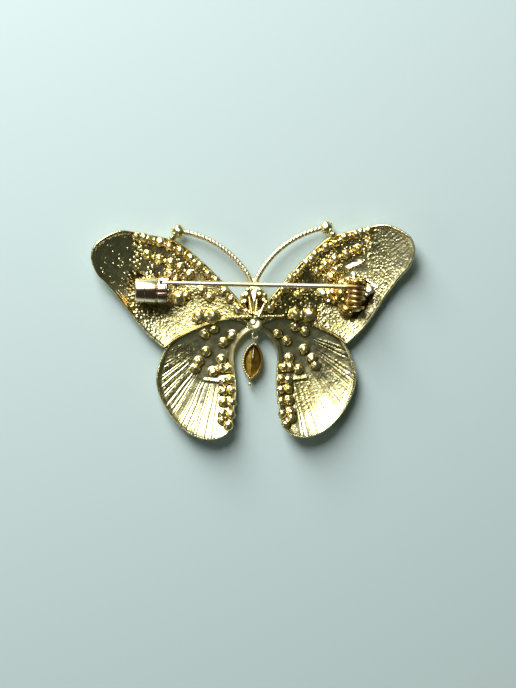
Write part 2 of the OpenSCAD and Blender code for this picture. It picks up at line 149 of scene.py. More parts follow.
def addLathe(bm, profile, place, steps, turn=360, closed=False):
    part = bmesh.new()
    verts = [part.verts.new((r, 0, z)) for r, z in profile]
    edges = [part.edges.new(pair) for pair in zip(verts, verts[1:])]
    if closed:
        edges.append(part.edges.new((verts[-1], verts[0])))
    full = turn == 360
    made = bmesh.ops.spin(part, geom=verts + edges, cent=(0, 0, 0), axis=(0, 0, 1), dvec=(0, 0, 0),
                          angle=math.radians(turn), steps=steps, use_merge=full, use_duplicate=False)
    if closed and not full:  # flat ends on a ring that stops short
        bmesh.ops.edgeloop_fill(part, edges=edges)
        bmesh.ops.edgeloop_fill(part, edges=madeEdges(made["geom_last"]))
    bmesh.ops.remove_doubles(part, verts=part.verts, dist=mergeGap)
    addPart(bm, part, place)


def addRing(bm, radius, wire, place, count, steps):
    turns = [2 * math.pi * i / count for i in range(count)]
    profile = [(radius + wire * math.cos(a), wire * math.sin(a)) for a in turns]
    addLathe(bm, profile, place, steps, closed=True)


def addLump(bm, centre, radius, rough=0.0, seed=0.0, level=4, flat=1.0):
    centre = Vector(centre)
    made = bmesh.ops.create_icosphere(bm, subdivisions=level, radius=radius)
    shift = Vector((seed * 7.31, seed * 3.17, seed * 1.93))
    for v in made["verts"]:
        bump = noise.noise(v.co * (1.5 / radius) + shift)
        v.co = v.co * (1 + rough * bump)
        v.co.z *= flat
        v.co += centre


def facing(direction):  # turns the upward axis to a direction
    return Vector(direction).to_track_quat("Z", "Y").to_matrix().to_4x4()


dome = {
    "lean": (-0.2, 0.42, 0.9),
    "points": 14,
    "steps": 36,
}


def addDome(bm, centre, radius, height):  # a flat drop of solder that leans
    last = dome["points"] - 1
    turns = [math.pi / 2 * i / last for i in range(last)]
    foot = [(0, -radius), (0.7 * radius, -0.9 * radius)]
    profile = foot + [(radius * math.cos(a), height * math.sin(a)) for a in turns] + [(0, height)]
    addLathe(bm, profile, Matrix.Translation(centre) @ facing(dome["lean"]), dome["steps"])


def addRod(bm, start, end, startRadius, endRadius, segments=20):
    start, end = Vector(start), Vector(end)
    run = end - start
    bmesh.ops.create_cone(bm, cap_ends=True, segments=segments, radius1=startRadius, radius2=endRadius,
                          depth=run.length, matrix=Matrix.Translation((start + end) / 2) @ facing(run))


def addBlock(bm, low, high, place, bevel, segments=4):
    part = bmesh.new()
    low, high = Vector(low), Vector(high)
    bmesh.ops.create_cube(part, size=1)
    bmesh.ops.scale(part, vec=high - low, verts=part.verts)
    bmesh.ops.translate(part, vec=(low + high) / 2, verts=part.verts)
    roundEdges(part, part.edges[:], bevel, segments)
    addPart(bm, part, place)


# relief patterns, on numpy arrays of places in millimetres

lattice = np.random.RandomState(7).rand(256, 256)


def grain(x, y, size, seed=0):  # soft noise between -1 and 1
    x, y = x / size + seed * 17.3, y / size + seed * 9.1
    column, row = np.floor(x).astype(int), np.floor(y).astype(int)
    u, v = ease(x - column), ease(y - row)

    def at(i, j):
        return lattice[(column + i) % 256, (row + j) % 256]

    low = at(0, 0) * (1 - u) + at(1, 0) * u
    high = at(0, 1) * (1 - u) + at(1, 1) * u
    return (low * (1 - v) + high * v) * 2 - 1


def grit(x, y, size, seed=0, sparse=0.0, slant=0.0):  # separate round grains of different heights
    c, s = math.cos(slant), math.sin(slant)
    x, y = (x * c + y * s) / size + seed * 13.1, (y * c - x * s) / size + seed * 7.7
    column, row = np.floor(x).astype(int), np.floor(y).astype(int)
    height = np.zeros(x.shape)
    for i in (-1, 0, 1):
        for j in (-1, 0, 1):
            a, b = (column + i) % 256, (row + j) % 256
            px = column + i + 0.2 + 0.6 * lattice[a, b]
            py = row + j + 0.2 + 0.6 * lattice[b, a]
            reach = 0.45 + 0.2 * lattice[(a + 71) % 256, b]
            tall = np.clip((lattice[a, (b + 37) % 256] - sparse) / (1 - sparse), 0, 1) ** 1.2
            bump = 1 - ((x - px) ** 2 + (y - py) ** 2) / reach ** 2
            height = np.maximum(height, tall * np.maximum(0, bump))
    return height


def nearestOnLine(x, y, start, end):
    run = np.subtract(end, start)
    t = np.clip(((x - start[0]) * run[0] + (y - start[1]) * run[1]) / (run @ run), 0, 1)
    return start[0] + t * run[0], start[1] + t * run[1]


def lineGap(x, y, start, end):
    px, py = nearestOnLine(x, y, start, end)
    return np.hypot(x - px, y - py)


def insideOutline(x, y, outline):
    inside = np.zeros(x.shape, bool)
    for (ax, ay), (bx, by) in zip(outline, np.roll(outline, -1, axis=0)):
        if ay == by:
            continue
        crosses = ((ay > y) != (by > y)) & (x < (bx - ax) * (y - ay) / (by - ay) + ax)
        inside ^= crosses
    return inside


def outlineGap(x, y, outline):  # distance to the outline, and the nearest place on it
    gap = np.full(x.shape, 1e9)
    nearX, nearY = x.copy(), y.copy()
    for a, b in zip(outline, np.roll(outline, -1, axis=0)):
        px, py = nearestOnLine(x, y, a, b)
        d = np.hypot(x - px, y - py)
        closer = d < gap
        gap = np.where(closer, d, gap)
        nearX, nearY = np.where(closer, px, nearX), np.where(closer, py, nearY)
    return gap, nearX, nearY


def smoothOutline(rows, steps):  # a row is x, y and a third value where the line has a corner
    p = np.array([row[:2] for row in rows], float)
    corner = [len(row) == 3 for row in rows]
    n = len(rows)
    points = []
    for i in range(n):
        b, c = p[i], p[(i + 1) % n]
        a = 2 * b - c if corner[i] else p[i - 1]
        d = 2 * c - b if corner[(i + 1) % n] else p[(i + 2) % n]
        for k in range(steps):
            t = k / steps
            bend = 2 * a - 5 * b + 4 * c - d
            twist = 3 * b - a - 3 * c + d
            points.append((2 * b + (c - a) * t + bend * t * t + twist * t ** 3) / 2)
    return np.array(points)


# a dished plate with relief on its back


def dishHeight(x, y, crown, radius, depth):
    rest = wings["frontHeight"] + radius
    return rest - np.sqrt((radius - depth) ** 2 - (x - crown[0]) ** 2 - (y - crown[1]) ** 2)


def flatPlaces(verts):
    places = np.array([v.co[:2] for v in verts])
    return places[:, 0], places[:, 1]


def trimmedGrid(outline, cell):  # a flat grid inside the outline, its outermost vertices moved onto it
    low, high = outline.min(0), outline.max(0)
    size = high - low
    bm = bmesh.new()
    edgeLayer = bm.verts.layers.float.new("edgeGap")
    bmesh.ops.create_grid(bm, x_segments=int(size[0] / cell), y_segments=int(size[1] / cell), size=1)
    reach = max(v.co.x for v in bm.verts)
    bmesh.ops.scale(bm, vec=(size[0] / 2 / reach, size[1] / 2 / reach, 1), verts=bm.verts)
    bmesh.ops.translate(bm, vec=((low[0] + high[0]) / 2, (low[1] + high[1]) / 2, 0), verts=bm.verts)
    x, y = flatPlaces(bm.verts)
    keep = insideOutline(x, y, outline) & (outlineGap(x, y, outline)[0] > 0.35 * cell)  # no thin slivers
    bmesh.ops.delete(bm, geom=[v for v, k in zip(bm.verts, keep) if not k], context="VERTS")
    bmesh.ops.delete(bm, geom=[v for v in bm.verts if not v.link_faces], context="VERTS")

    rim = [v for v in bm.verts if v.is_boundary]
    _, nearX, nearY = outlineGap(*flatPlaces(rim), outline)
    for v, px, py in zip(rim, nearX, nearY):
        v.co.x, v.co.y = px, py
    onRim = set(rim)
    second = list({e.other_vert(v) for v in rim for e in v.link_edges} - onRim)
    bmesh.ops.smooth_vert(bm, verts=second, factor=0.5, use_axis_x=True, use_axis_y=True, use_axis_z=False)
    for v, gap in zip(bm.verts, outlineGap(*flatPlaces(bm.verts), outline)[0]):
        v[edgeLayer] = 0 if v in onRim else gap
    return bm


def makePlate(outline, cell, heights, side=1):
    bm = trimmedGrid(outline, cell)
    edgeLayer = bm.verts.layers.float["edgeGap"]
    gap = np.array([v[edgeLayer] for v in bm.verts])
    back, _, paints = heights(*flatPlaces(bm.verts), gap, side)
    layers = {name: bm.verts.layers.float.new(name) for name in paints}
    edgeLayer = bm.verts.layers.float["edgeGap"]
    made = bmesh.ops.extrude_face_region(bm, geom=bm.faces[:])
    copied = set(madeVerts(made["geom"]))
    backVerts = [v for v in bm.verts if v not in copied]
    frontVerts = [v for v in bm.verts if v in copied]
    for i, v in enumerate(backVerts):
        v.co.z = back[i]
        for name, layer in layers.items():
            v[layer] = paints[name][i]
    gap = np.array([v[edgeLayer] for v in frontVerts])
    front = heights(*flatPlaces(frontVerts), gap, side)[1]
    for v, z in zip(frontVerts, front):
        v.co.z = z
        for name, layer in layers.items():
            v[layer] = wings["frontGrainy"] if name == "grainy" else 0
    return bm


def rimShape(gap, width):
    return 1 - rises(gap, 0.6 * width, 0.8 * width)


def edgeDrop(gap):
    r = wings["edgeRound"]
    return r - np.sqrt(np.maximum(0, r * r - np.maximum(0, r - gap) ** 2))


def wingFront(x, y, gap, rim, part):  # plain: a dome with a small rim, and low pads that it rests on
    front = dishHeight(x, y, part["crown"], part["dish"], 0) - wings["frontRim"] * rim + edgeDrop(gap)
    for px, py in part["pads"] + [part["crown"]]:
        away = np.hypot(x - px, y - py)
        front -= wings["frontHeight"] * (1 - rises(away, wings["padFlat"], wings["padSlope"]))
    return front


skirt = {
    "rise": 0.1,
    "width": 0.22,
    "shadowReach": 0.24,
    "shadowLonger": 0.2,
    "shadow": (0.55, -0.83),
    "ringAway": 0.5,
    "ringWidth": 0.35,
    "sparkSize": 0.36,
    "sparkRise": 0.16,
    "warmReflection": (0.3, 0.6),
}


def knobSkirts(x, y, side, places, height, crevice, paintedLight, sparksAndReflection):  # painted shadow round each knob, longest below it, and a painted warm reflection in a ring beyond it
    sparks = grit(x, y, skirt["sparkSize"], 26)
    paintedDark = 0.8 + 0.2 * grain(x, y, 0.7, 15)
    shadowX, shadowY = skirt["shadow"]
    plain, more = skirt["warmReflection"]
    for kx, ky, r in places:
        d = np.hypot(x - kx, y - ky)
        height += skirt["rise"] * bell(d - r, skirt["width"])
        below = (shadowX * side * (x - kx) + shadowY * (y - ky)) / (d + 0.1)
        reach = skirt["shadowReach"] + skirt["shadowLonger"] * np.maximum(0, below)
        gap = bell(np.maximum(0, d - r - 0.02), reach)
        gap *= 0.75 + 0.25 * ease(0.5 + 0.5 * below)
        np.maximum(crevice, gap * paintedDark, out=crevice)
        # a ring of raised grains and of painted warm reflection round the knob
        ring = bell(d - r - skirt["ringAway"], skirt["ringWidth"]) * (0.5 + 0.5 * lattice[int(9 * kx), 40])
        height += skirt["sparkRise"] * sparksAndReflection * ring * sparks
        np.maximum(paintedLight, (plain + more * sparksAndReflection) * ring, out=paintedLight)


# upper wings

upperOutline = [
    (0.29, 2.1, 1), (0.29, 2.68, 1), (1.04, 3.02), (2.61, 5.39), (4.99, 8.2), (8.0, 11.49), (10.99, 14.3),
    (13.11, 16.01), (14.99, 16.8), (18.91, 17.7), (21.2, 18.15), (23.29, 18.49), (25.2, 18.04),
    (27.0, 17.1), (28.33, 15.94), (28.97, 14.3), (28.88, 12.63), (27.9, 10.51), (26.51, 9.01),
    (24.01, 5.95), (20.01, 0.45), (16.99, -2.44), (16.3, -2.95, 1), (14.01, -1.31), (10.99, 0.11),
    (8.0, 1.2), (4.99, 1.9), (2.49, 2.01),
]
upperKnobs = [
    (2.8, 3.8), (4.05, 5.6), (5.3, 7.2), (6.7, 9.1), (8.1, 10.2), (9.6, 11.9), (10.5, 12.4), (11.2, 13.3),
    (13.1, 14.6), (14.9, 15.4), (16.6, 16.3), (18.7, 16.8), (19.5, 17.1), (20.8, 17.4),
    (8.0, 6.1), (9.3, 7.3), (11.5, 10.2), (13.1, 11.55), (14.7, 12.4), (16.8, 13.2), (18.9, 14.1),
    (12.2, 6.5), (14.0, 9.3), (15.0, 10.4),
]
upperBig = [(13.5, 6.0), (9.9, 2.6), (7.4, 2.7)]
upper = {
    "dish": 50.0,
    "crown": (14.0, 9.3),
    "pads": upperBig,
    "rimWidth": 0.4,
    "rimWider": 0.3,
    "rimWiderFrom": (21, 3),
    "cell": 0.1,
    "knob": 0.7,
    "bigKnob": 1.12,
    "tip": {"left": (20.2, 0.8), "high": (17.9, 0.6)},
    "low": {"left": (10.2, 0.7), "high": (4.7, 0.8)},
    "edgeReflection": {"left": (5, 2), "right": (17, 1.5), "high": (4.5, 3)},
    "edgeShade": {"right": (16.5, 3), "high": (4.5, 3)},
}


# upper right wing: grains, fine lines at its tip, a bright bar and a shallow groove beside the hinge,
# painted black as the hinge's shadow
upperRight = {
    "rough": {"left": (16.5, 2), "high": (10.5, 1.5)},
    "grainRise": 0.15,
    "farFrom": (23.5, 3),
    "farLess": 0.08,
    "lineRise": 0.02,
    "lineFrom": (21.5, 2),
    "sparksAndReflection": 1.0,
    "bar": ((16.2, 10.5), (20.0, 12.3)),
    "barEdge": 0.45,
    "barSlope": 0.2,
    "strip": ((21.2, 6.3), (20.5, 5.0), (19.6, 3.8), (18.7, 2.8), (17.6, 1.6)),
    "stripWidth": 0.34,
    "stripDepth": 0.08,
}


def barFacet(x, y):
    (ax, ay), (bx, by) = upperRight["bar"]
    run = math.dist((ax, ay), (bx, by))
    along = ((x - ax) * (bx - ax) + (y - ay) * (by - ay)) / run
    across = ((x - ax) * (by - ay) - (y - ay) * (bx - ax)) / run + 0.1 * grain(x, y, 0.7, 22)
    facet = rises(along, -0.2, 1.2) * falls(along, run + 0.2, 1.4) * (1 - rises(across, 0.42, 0.3))
    return facet, across + upperRight["barEdge"]


def upperRightRelief(x, y, height, low, corner):
    tip = patch(x + 0.35 * grain(x, y, 1.4, 1), y, **upper["tip"])
    rough = np.maximum.reduce([tip, low, patch(x, y, **upperRight["rough"])])
    grains = 0.65 * grit(x, y, 0.36, 1, slant=0.8) + 0.35 * grit(x, y, 0.25, 2)
    far = rises(x, *upperRight["farFrom"])
    height += rough * (upperRight["grainRise"] - upperRight["farLess"] * far) * grains
    lines = np.cos((0.64 * x - 0.77 * y) * 9 + 1.5 * grain(x, y, 2.0, 4)) ** 5
    lines *= rises(x, *upperRight["lineFrom"]) * rises(y + 0.4 * x, 22.2, 2)
    height += upperRight["lineRise"] * lines
    # painted shade: darker towards the root, and dark in the gaps between the grains
    dark = 0.5 * falls(x, 13.5, 3) + 0.16 * falls(x, 20, 2)
    paintedDark = (0.72 - 0.24 * tip - 0.3 * far) * (1 - 0.5 * corner * low)
    crevice = dark * (1 - low) + rough * falls(grains, 0.34, 0.28) * paintedDark
    facet, across = barFacet(x, y)
    height += (upperRight["barSlope"] * np.clip(across, 0, 0.85) + 0.03 * grit(x, y, 0.35, 8)) * facet
    crevice *= 1 - facet * (across > 0)
    # the hinge's shadow is painted black into a shallow groove
    line = upperRight["strip"]
    away = np.minimum.reduce([lineGap(x, y, a, b) for a, b in zip(line, line[1:])])
    hingeShadow = 1 - rises(away + 0.1 * grain(x, y, 0.5, 25), upperRight["stripWidth"], 0.22)
    height = height * (1 - hingeShadow) - upperRight["stripDepth"] * hingeShadow
    return height, np.maximum(crevice, hingeShadow), np.maximum(0.2, rough)


# upper left wing: beaded grains round the barrel, a painted shadow under it and sparks at the tip
upperLeft = {
    "around": {"left": (15.4, 2), "right": (23.6, 1.5), "low": (1, 2), "high": (12.2, 1.5)},
    "rough": {"right": (24, 2), "high": (9.4, 1.6)},
    "roughShare": 0.75,
    "grainRise": 0.11,
    "aroundMore": 0.04,
    "sparkRise": 0.14,
    "sparkFrom": (17, 1.5),
    "tipShade": {"left": (19, 2), "low": (7, 2)},
    "rootShade": (10.5, 2),
    "under": ((15.6, 4.4), (20.2, 4.9)),
    "underWidth": 0.95,
    "reflectedEdge": {"left": (20.4, 1.5), "low": (2.8, 1.5), "high": (7.6, 1.5)},
    "warmReflection": 0.88,
    "sparksAndReflection": 0.6,
}


def upperLeftRelief(x, y, height, corner):
    around = patch(x, y, **upperLeft["around"])
    rough = np.maximum(around, upperLeft["roughShare"] * patch(x, y, **upperLeft["rough"]))
    grains = 0.5 * grit(x, y, 0.34, 1, sparse=0.2) + 0.5 * grit(x, y, 0.23, 2)
    grains = grains * (1 - around) + grit(x, y, 0.52, 9) * around
    height += rough * (upperLeft["grainRise"] + upperLeft["aroundMore"] * around) * grains
    sparks = grit(x, y, 0.5, 6, sparse=0.7)
    height += rises(x, *upperLeft["sparkFrom"]) * (1 - around) * upperLeft["sparkRise"] * sparks
    # painted shade in the gaps between the grains, over the tip and towards the root
    gaps = rough * falls(grains, 0.3, 0.26)
    crevice = gaps * (0.92 - 0.42 * corner) + 0.25 * patch(x, y, **upperLeft["tipShade"])
    crevice += 0.3 * falls(x, *upperLeft["rootShade"]) * (1 - gaps)
    # painted shadow under the barrel
    under = bell(lineGap(x, y, *upperLeft["under"]), upperLeft["underWidth"])
    np.maximum(crevice, 0.98 * under * (0.85 + 0.3 * grain(x, y, 0.5, 24)), out=crevice)
    return height * (1 - 0.5 * under), crevice, np.clip(0.12 + rough - 0.6 * around, 0, 1)


def upperHeights(x, y, gap, side):
    rim = rimShape(gap, upper["rimWidth"] + upper["rimWider"] * rises(x, *upper["rimWiderFrom"]))
    low = patch(x - 0.3 * y, y, **upper["low"])
    corner = rises(x - y + 0.5 * grain(x, y, 0.8, 21), 15, 2.5)
    height = 0.01 * grain(x, y, 1.3, 2) + 0.005 * grain(x, y, 0.35, 3)
    if side > 0:
        height, crevice, grainy = upperRightRelief(x, y, height, low, corner)
        paintedLight, sparksAndReflection = np.zeros(x.shape), upperRight["sparksAndReflection"]
    else:
        height, crevice, grainy = upperLeftRelief(x, y, height, corner)
        # painted warm reflection near the outer edge
        paintedLight, sparksAndReflection = upperLeft["warmReflection"] * patch(x, y, **upperLeft["reflectedEdge"]), upperLeft["sparksAndReflection"]
        paintedLight *= 1 - rises(gap, 0.9, 0.7)
    places = [(*p, upper["knob"]) for p in upperKnobs] + [(*p, upper["bigKnob"]) for p in upperBig]
    knobSkirts(x, y, side, places, height, crevice, paintedLight, sparksAndReflection)
    # painted reflection just inside the edge, and painted shade where the rim meets the wing
    np.maximum(paintedLight, 0.8 * bell(gap - 0.3, 0.25) * patch(x, y, **upper["edgeReflection"]), out=paintedLight)
    np.maximum(crevice, 0.7 * bell(gap - 0.75, 0.17) * patch(x, y, **upper["edgeShade"]), out=crevice)
    back = dishHeight(x, y, upper["crown"], upper["dish"], wings["wall"]) + (1 - rim) * height
    back += rim * (wings["rimHeight"] + wings["rimGrain"] * grain(x, y, 0.5, 5)) - edgeDrop(gap)
    return back, wingFront(x, y, gap, rim, upper), {"crevice": crevice, "grainy": grainy, "paintedLight": paintedLight}


# lower wings

lowerOutline = [
    (0.59, 0.1, 1), (0.99, 1.59, 1), (4.5, 2.7), (7.99, 2.1), (11.0, 0.95), (13.61, -0.29), (15.41, -1.71),
    (16.31, -3.11), (17.1, -4.8), (17.8, -7.2), (17.96, -9.01), (17.5, -11.21), (16.4, -13.59),
    (14.8, -15.9), (12.49, -18.06), (10.3, -19.11), (8.41, -19.42), (6.61, -19.11), (5.29, -18.29),
    (4.5, -16.8), (4.0, -14.2), (3.6, -11.5), (3.55, -9.01), (3.8, -6.19), (3.85, -4.16), (3.26, -2.54),
    (2.11, -1.05),
]
lowerPanel = [
    (0, 4), (9.8, 4), (9.8, -1.2), (9.9, -2.7), (10.9, -4.0), (11.6, -5.5), (9.5, -7.8), (9.6, -8.9),
    (6.4, -9.0), (6.5, -10.0), (7.0, -16.0), (5.4, -17.5), (0, -17.5),
]
lowerKnobs = [
    (9.0, -0.5), (7.3, 0.4), (4.1, -0.8), (5.7, -2.1), (8.8, -3.7), (10.2, -5.4), (10.8, -6.6),
    (6.1, -5.2), (5.1, -6.8), (6.2, -6.8), (7.7, -7.3), (4.6, -8.8), (5.8, -9.1), (4.4, -10.8),
    (5.8, -10.8), (4.4, -12.9), (5.9, -12.8), (4.6, -15.1), (6.1, -14.9), (6.2, -16.0), (5.1, -17.0),
]
lower = {
    "dish": 48.0,
    "crown": (8.8, -3.7),
    "pads": [(4.6, -8.8), (6.2, -16.0)],
    "rimWidth": 0.32,
    "cell": 0.088,
    "knob": 0.7,
    "ribCentre": (4.9, 0.5),
    "ribFirst": 19.0,
    "ribLast": 80.0,
    "ribCount": 20,
    "grooveWidth": 0.11,
    "notch": {"right": (5.4, 0.5), "low": (-15.5, 2), "high": (0.9, 0.8)},
    "notchWidth": 1.05,
    "notchRise": 0.42,
    "worn": {"left": (6.6, 0.5), "right": (12.4, 3), "low": (-16, 2), "high": (-7.5, 1.5)},
    "wornRise": 0.05,
    "bar": ((6.9, -9.0), (9.0, -8.75)),
    "barRise": 0.14,
    "sparksAndReflection": 0,
}


def ribbedArea(x, y, gap, turn, reach, phase):  # all but the smooth panel, the root and a plain outer band
    panel = np.array(lowerPanel, float)
    ribbed = np.where(insideOutline(x, y, panel), 0, rises(outlineGap(x, y, panel)[0], 0, 0.4))
    ribbed *= rises(phase, -0.6, 0.4) * falls(phase, lower["ribCount"] + 0.2, 0.4)
    ribbed *= rises(reach + 0.8 * grain(x, y, 0.8, 12), 5, 3.5)
    outer = 1 - rises(gap - 0.3 * grain(x, y, 0.9, 16), 0.9, 0.35)
    return ribbed * (1 - 0.8 * outer * (1 - rises(turn, 58, 8)))


def ribChance(phase, column):  # one random share for each rib
    return lattice[np.floor(phase).astype(int) % 256, column]


# lower right wing: ribs that lean unevenly and open into a fan at its foot
lowerRight = {
    "lean": 0.17,
    "evenRib": 0.85,
    "fan": (40, 26),
    "fanLean": 0.04,
    "ramp": ((0, 0.8, 1), (0, 1, 0)),
    "groove": (0.02, 0.09),
    "grooveShade": 7,
    "ribDark": 0.26,
    "ribDarkTo": (50, 14),
    "hammered": 0.024,
    "grainy": 0.2,
}


def lowerRightRibs(x, y, phase, turn):  # a rib's slope, its groove's depth and painted shade, and its own darkening
    own = 0.45 + ribChance(phase, 21)
    fan = rises(turn, *lowerRight["fan"])
    lean = lowerRight["lean"] * (own - lowerRight["evenRib"]) * (1 - fan)
    lean -= lowerRight["fanLean"] * own * fan
    least, most = lowerRight["groove"]
    deep = (least + (most - least) * ribChance(phase + 0.5, 25)) * (1 - 0.5 * fan)
    paintedDark = lowerRight["ribDark"] * (1 - rises(turn, *lowerRight["ribDarkTo"]))
    paintedDark *= 0.8 + 0.5 * grain(x, y, 0.5, 23)
    return lean * np.interp(phase % 1, *lowerRight["ramp"]), deep, lowerRight["grooveShade"] * deep, paintedDark


# lower left wing: ribs like shingles, flatter at its foot
lowerLeft = {
    "lean": 0.14,
    "flatter": 0.92,
    "flatFrom": (52, 16),
    "ramp": ((0, 0.56, 0.85, 1), (0.35, 0, 1, 0.35)),
    "groove": 0.06,
    "grooveShade": 0.75,
    "ribDark": 0.4,
    "ribDarkTo": (52, 15),
    "shadeShare": (0.35, 0.2),
    "hammered": 0.05,
    "grainy": 0.1,
}


def lowerLeftRibs(x, y, phase, turn):
    own = 0.45 + ribChance(phase, 19)
    lean = lowerLeft["lean"] * own * (1 - lowerLeft["flatter"] * rises(turn, *lowerLeft["flatFrom"]))
    slope = lean * np.interp(phase % 1, *lowerLeft["ramp"])
    # painted shade on one side of each rib
    paintedDark = lowerLeft["ribDark"] * (1 - rises(phase % 1, *lowerLeft["shadeShare"]))
    paintedDark *= 1 - rises(turn, *lowerLeft["ribDarkTo"])
    return slope, lowerLeft["groove"], lowerLeft["grooveShade"], paintedDark


def lowerHeights(x, y, gap, side):
    cx, cy = lower["ribCentre"]
    wing, ribs = (lowerRight, lowerRightRibs) if side > 0 else (lowerLeft, lowerLeftRibs)
    notch = patch(x, y, **lower["notch"])
    rim = rimShape(gap, lower["rimWidth"])
    band = notch * np.clip(lower["notchWidth"] - gap, 0, 1)  # a broad edge that slopes inwards
    turn = np.degrees(np.arctan2(cy - y, x - cx))
    reach = np.hypot(x - cx, y - cy)
    step = (lower["ribLast"] - lower["ribFirst"]) / (lower["ribCount"] - 1)
    phase = (turn - lower["ribFirst"]) / step + 0.12 * grain(x, y, 3.0, 13)
    phase = phase + 0.22 * np.sin(2.3 * phase) + 0.16 * np.sin(3.9 * phase + side)
    ribbed = ribbedArea(x, y, gap, turn, reach, phase)
    slope, deep, grooveShade, ribDark = ribs(x, y, phase, turn)
    groove = bell(np.minimum(phase % 1, 1 - phase % 1), lower["grooveWidth"])
    height = 0.025 * grain(x, y, 1.6, 6) + 0.006 * grain(x, y, 0.3, 7)
    height += ribbed * (reach * math.radians(step) * slope - deep * groove)
    hammered = grit(x, y, 0.38, 4, sparse=0.2) * (1 - 0.85 * rises(turn, 42, 16))
    height += ribbed * wing["hammered"] * hammered
    worn = (side > 0) * patch(x, y, **lower["worn"])  # on the right wing alone
    brushed = grit(0.5 * x + 0.3 * y, y - 0.3 * x, 0.32, 3)
    height += worn * lower["wornRise"] * brushed
    height += lower["barRise"] * (1 - rises(lineGap(x, y, *lower["bar"]), 0.08, 0.4))
    # painted shade in the grooves and between the brush marks, and darker ribs
    crevice = ribbed * (groove * grooveShade + ribDark) + worn * 0.5 * (1 - brushed) * (1 - falls(y, -14, 3))
    paintedLight = np.zeros(x.shape)
    places = [(*p, lower["knob"]) for p in lowerKnobs]
    knobSkirts(x, y, side, places, height, crevice, paintedLight, lower["sparksAndReflection"])
    # painted shade where the rim meets the wing
    np.maximum(crevice, 0.5 * bell(gap - 0.72 - 0.4 * notch, 0.2), out=crevice)
    crevice *= 1 - 0.9 * np.minimum(1, 4 * np.clip(band - 0.12, 0, 1))
    grainy = np.clip(0.1 + ribbed * wing["grainy"] + worn + 1.5 * band, 0, 1)
    back = dishHeight(x, y, lower["crown"], lower["dish"], wings["wall"]) + lower["notchRise"] * band
    back += (1 - rim) * (1 - np.minimum(1, 3 * band)) * height + wings["rimHeight"] * rim * (1 - notch)
    back += rim * wings["rimGrain"] * grain(x, y, 0.5, 9) - edgeDrop(gap)
    return back, wingFront(x, y, gap, rim, lower), {"crevice": crevice, "grainy": grainy, "paintedLight": paintedLight}


# finishes


def addSocket(tree, name, output=False, value=None):
    way = "OUTPUT" if output else "INPUT"
    socket = tree.interface.new_socket(name=name, in_out=way, socket_type="NodeSocketFloat")
    if value is not None:
        socket.default_value = value


def noiseNode(nodes, detail, roughness=0.5):
    node = nodes.new("ShaderNodeTexNoise")
    node.inputs["Detail"].default_value = detail
    node.inputs["Roughness"].default_value = roughness
    return node


def mathNode(nodes, operation, second=0.5):
    node = nodes.new("ShaderNodeMath")
    node.operation = operation
    node.inputs[1].default_value = second
    return node


def rangeNode(nodes, side, low, high):
    node = nodes.new("ShaderNodeMapRange")
    node.inputs[side + " Min"].default_value = low
    node.inputs[side + " Max"].default_value = high
    return node


def attributeNode(nodes, name):
    node = nodes.new("ShaderNodeAttribute")
    node.attribute_name = name
    return node


def mixNode(nodes, colour):  # mixes towards a colour
    node = nodes.new("ShaderNodeMix")
    node.data_type = "RGBA"
    node.inputs["B"].default_value = (*colour, 1)
    return node


def makeSkinGroup():
    tree = bpy.data.node_groups.new("castSkin", "ShaderNodeTree")
    addSocket(tree, "Fine Scale", value=4000)
    addSocket(tree, "Coarse Scale", value=700)
    addSocket(tree, "Height", output=True)
    addSocket(tree, "Blotch", output=True)
    nodes, link = tree.nodes, tree.links.new
    start, end = nodes.new("NodeGroupInput"), nodes.new("NodeGroupOutput")
    place = nodes.new("ShaderNodeTexCoord")
    fine, coarse = noiseNode(nodes, 3), noiseNode(nodes, 4, 0.6)
    for texture, scale in ((fine, "Fine Scale"), (coarse, "Coarse Scale")):
        link(place.outputs["Object"], texture.inputs["Vector"])
        link(start.outputs[scale], texture.inputs["Scale"])
    mix = mathNode(nodes, "MULTIPLY_ADD", 0.6)
    link(fine.outputs["Fac"], mix.inputs[0])
    link(coarse.outputs["Fac"], mix.inputs[2])
    link(mix.outputs[0], end.inputs["Height"])
    spread = rangeNode(nodes, "From", 0.35, 0.65)
    link(coarse.outputs["Fac"], spread.inputs["Value"])
    link(spread.outputs["Result"], end.inputs["Blotch"])
    return tree


skinGroup = makeSkinGroup()


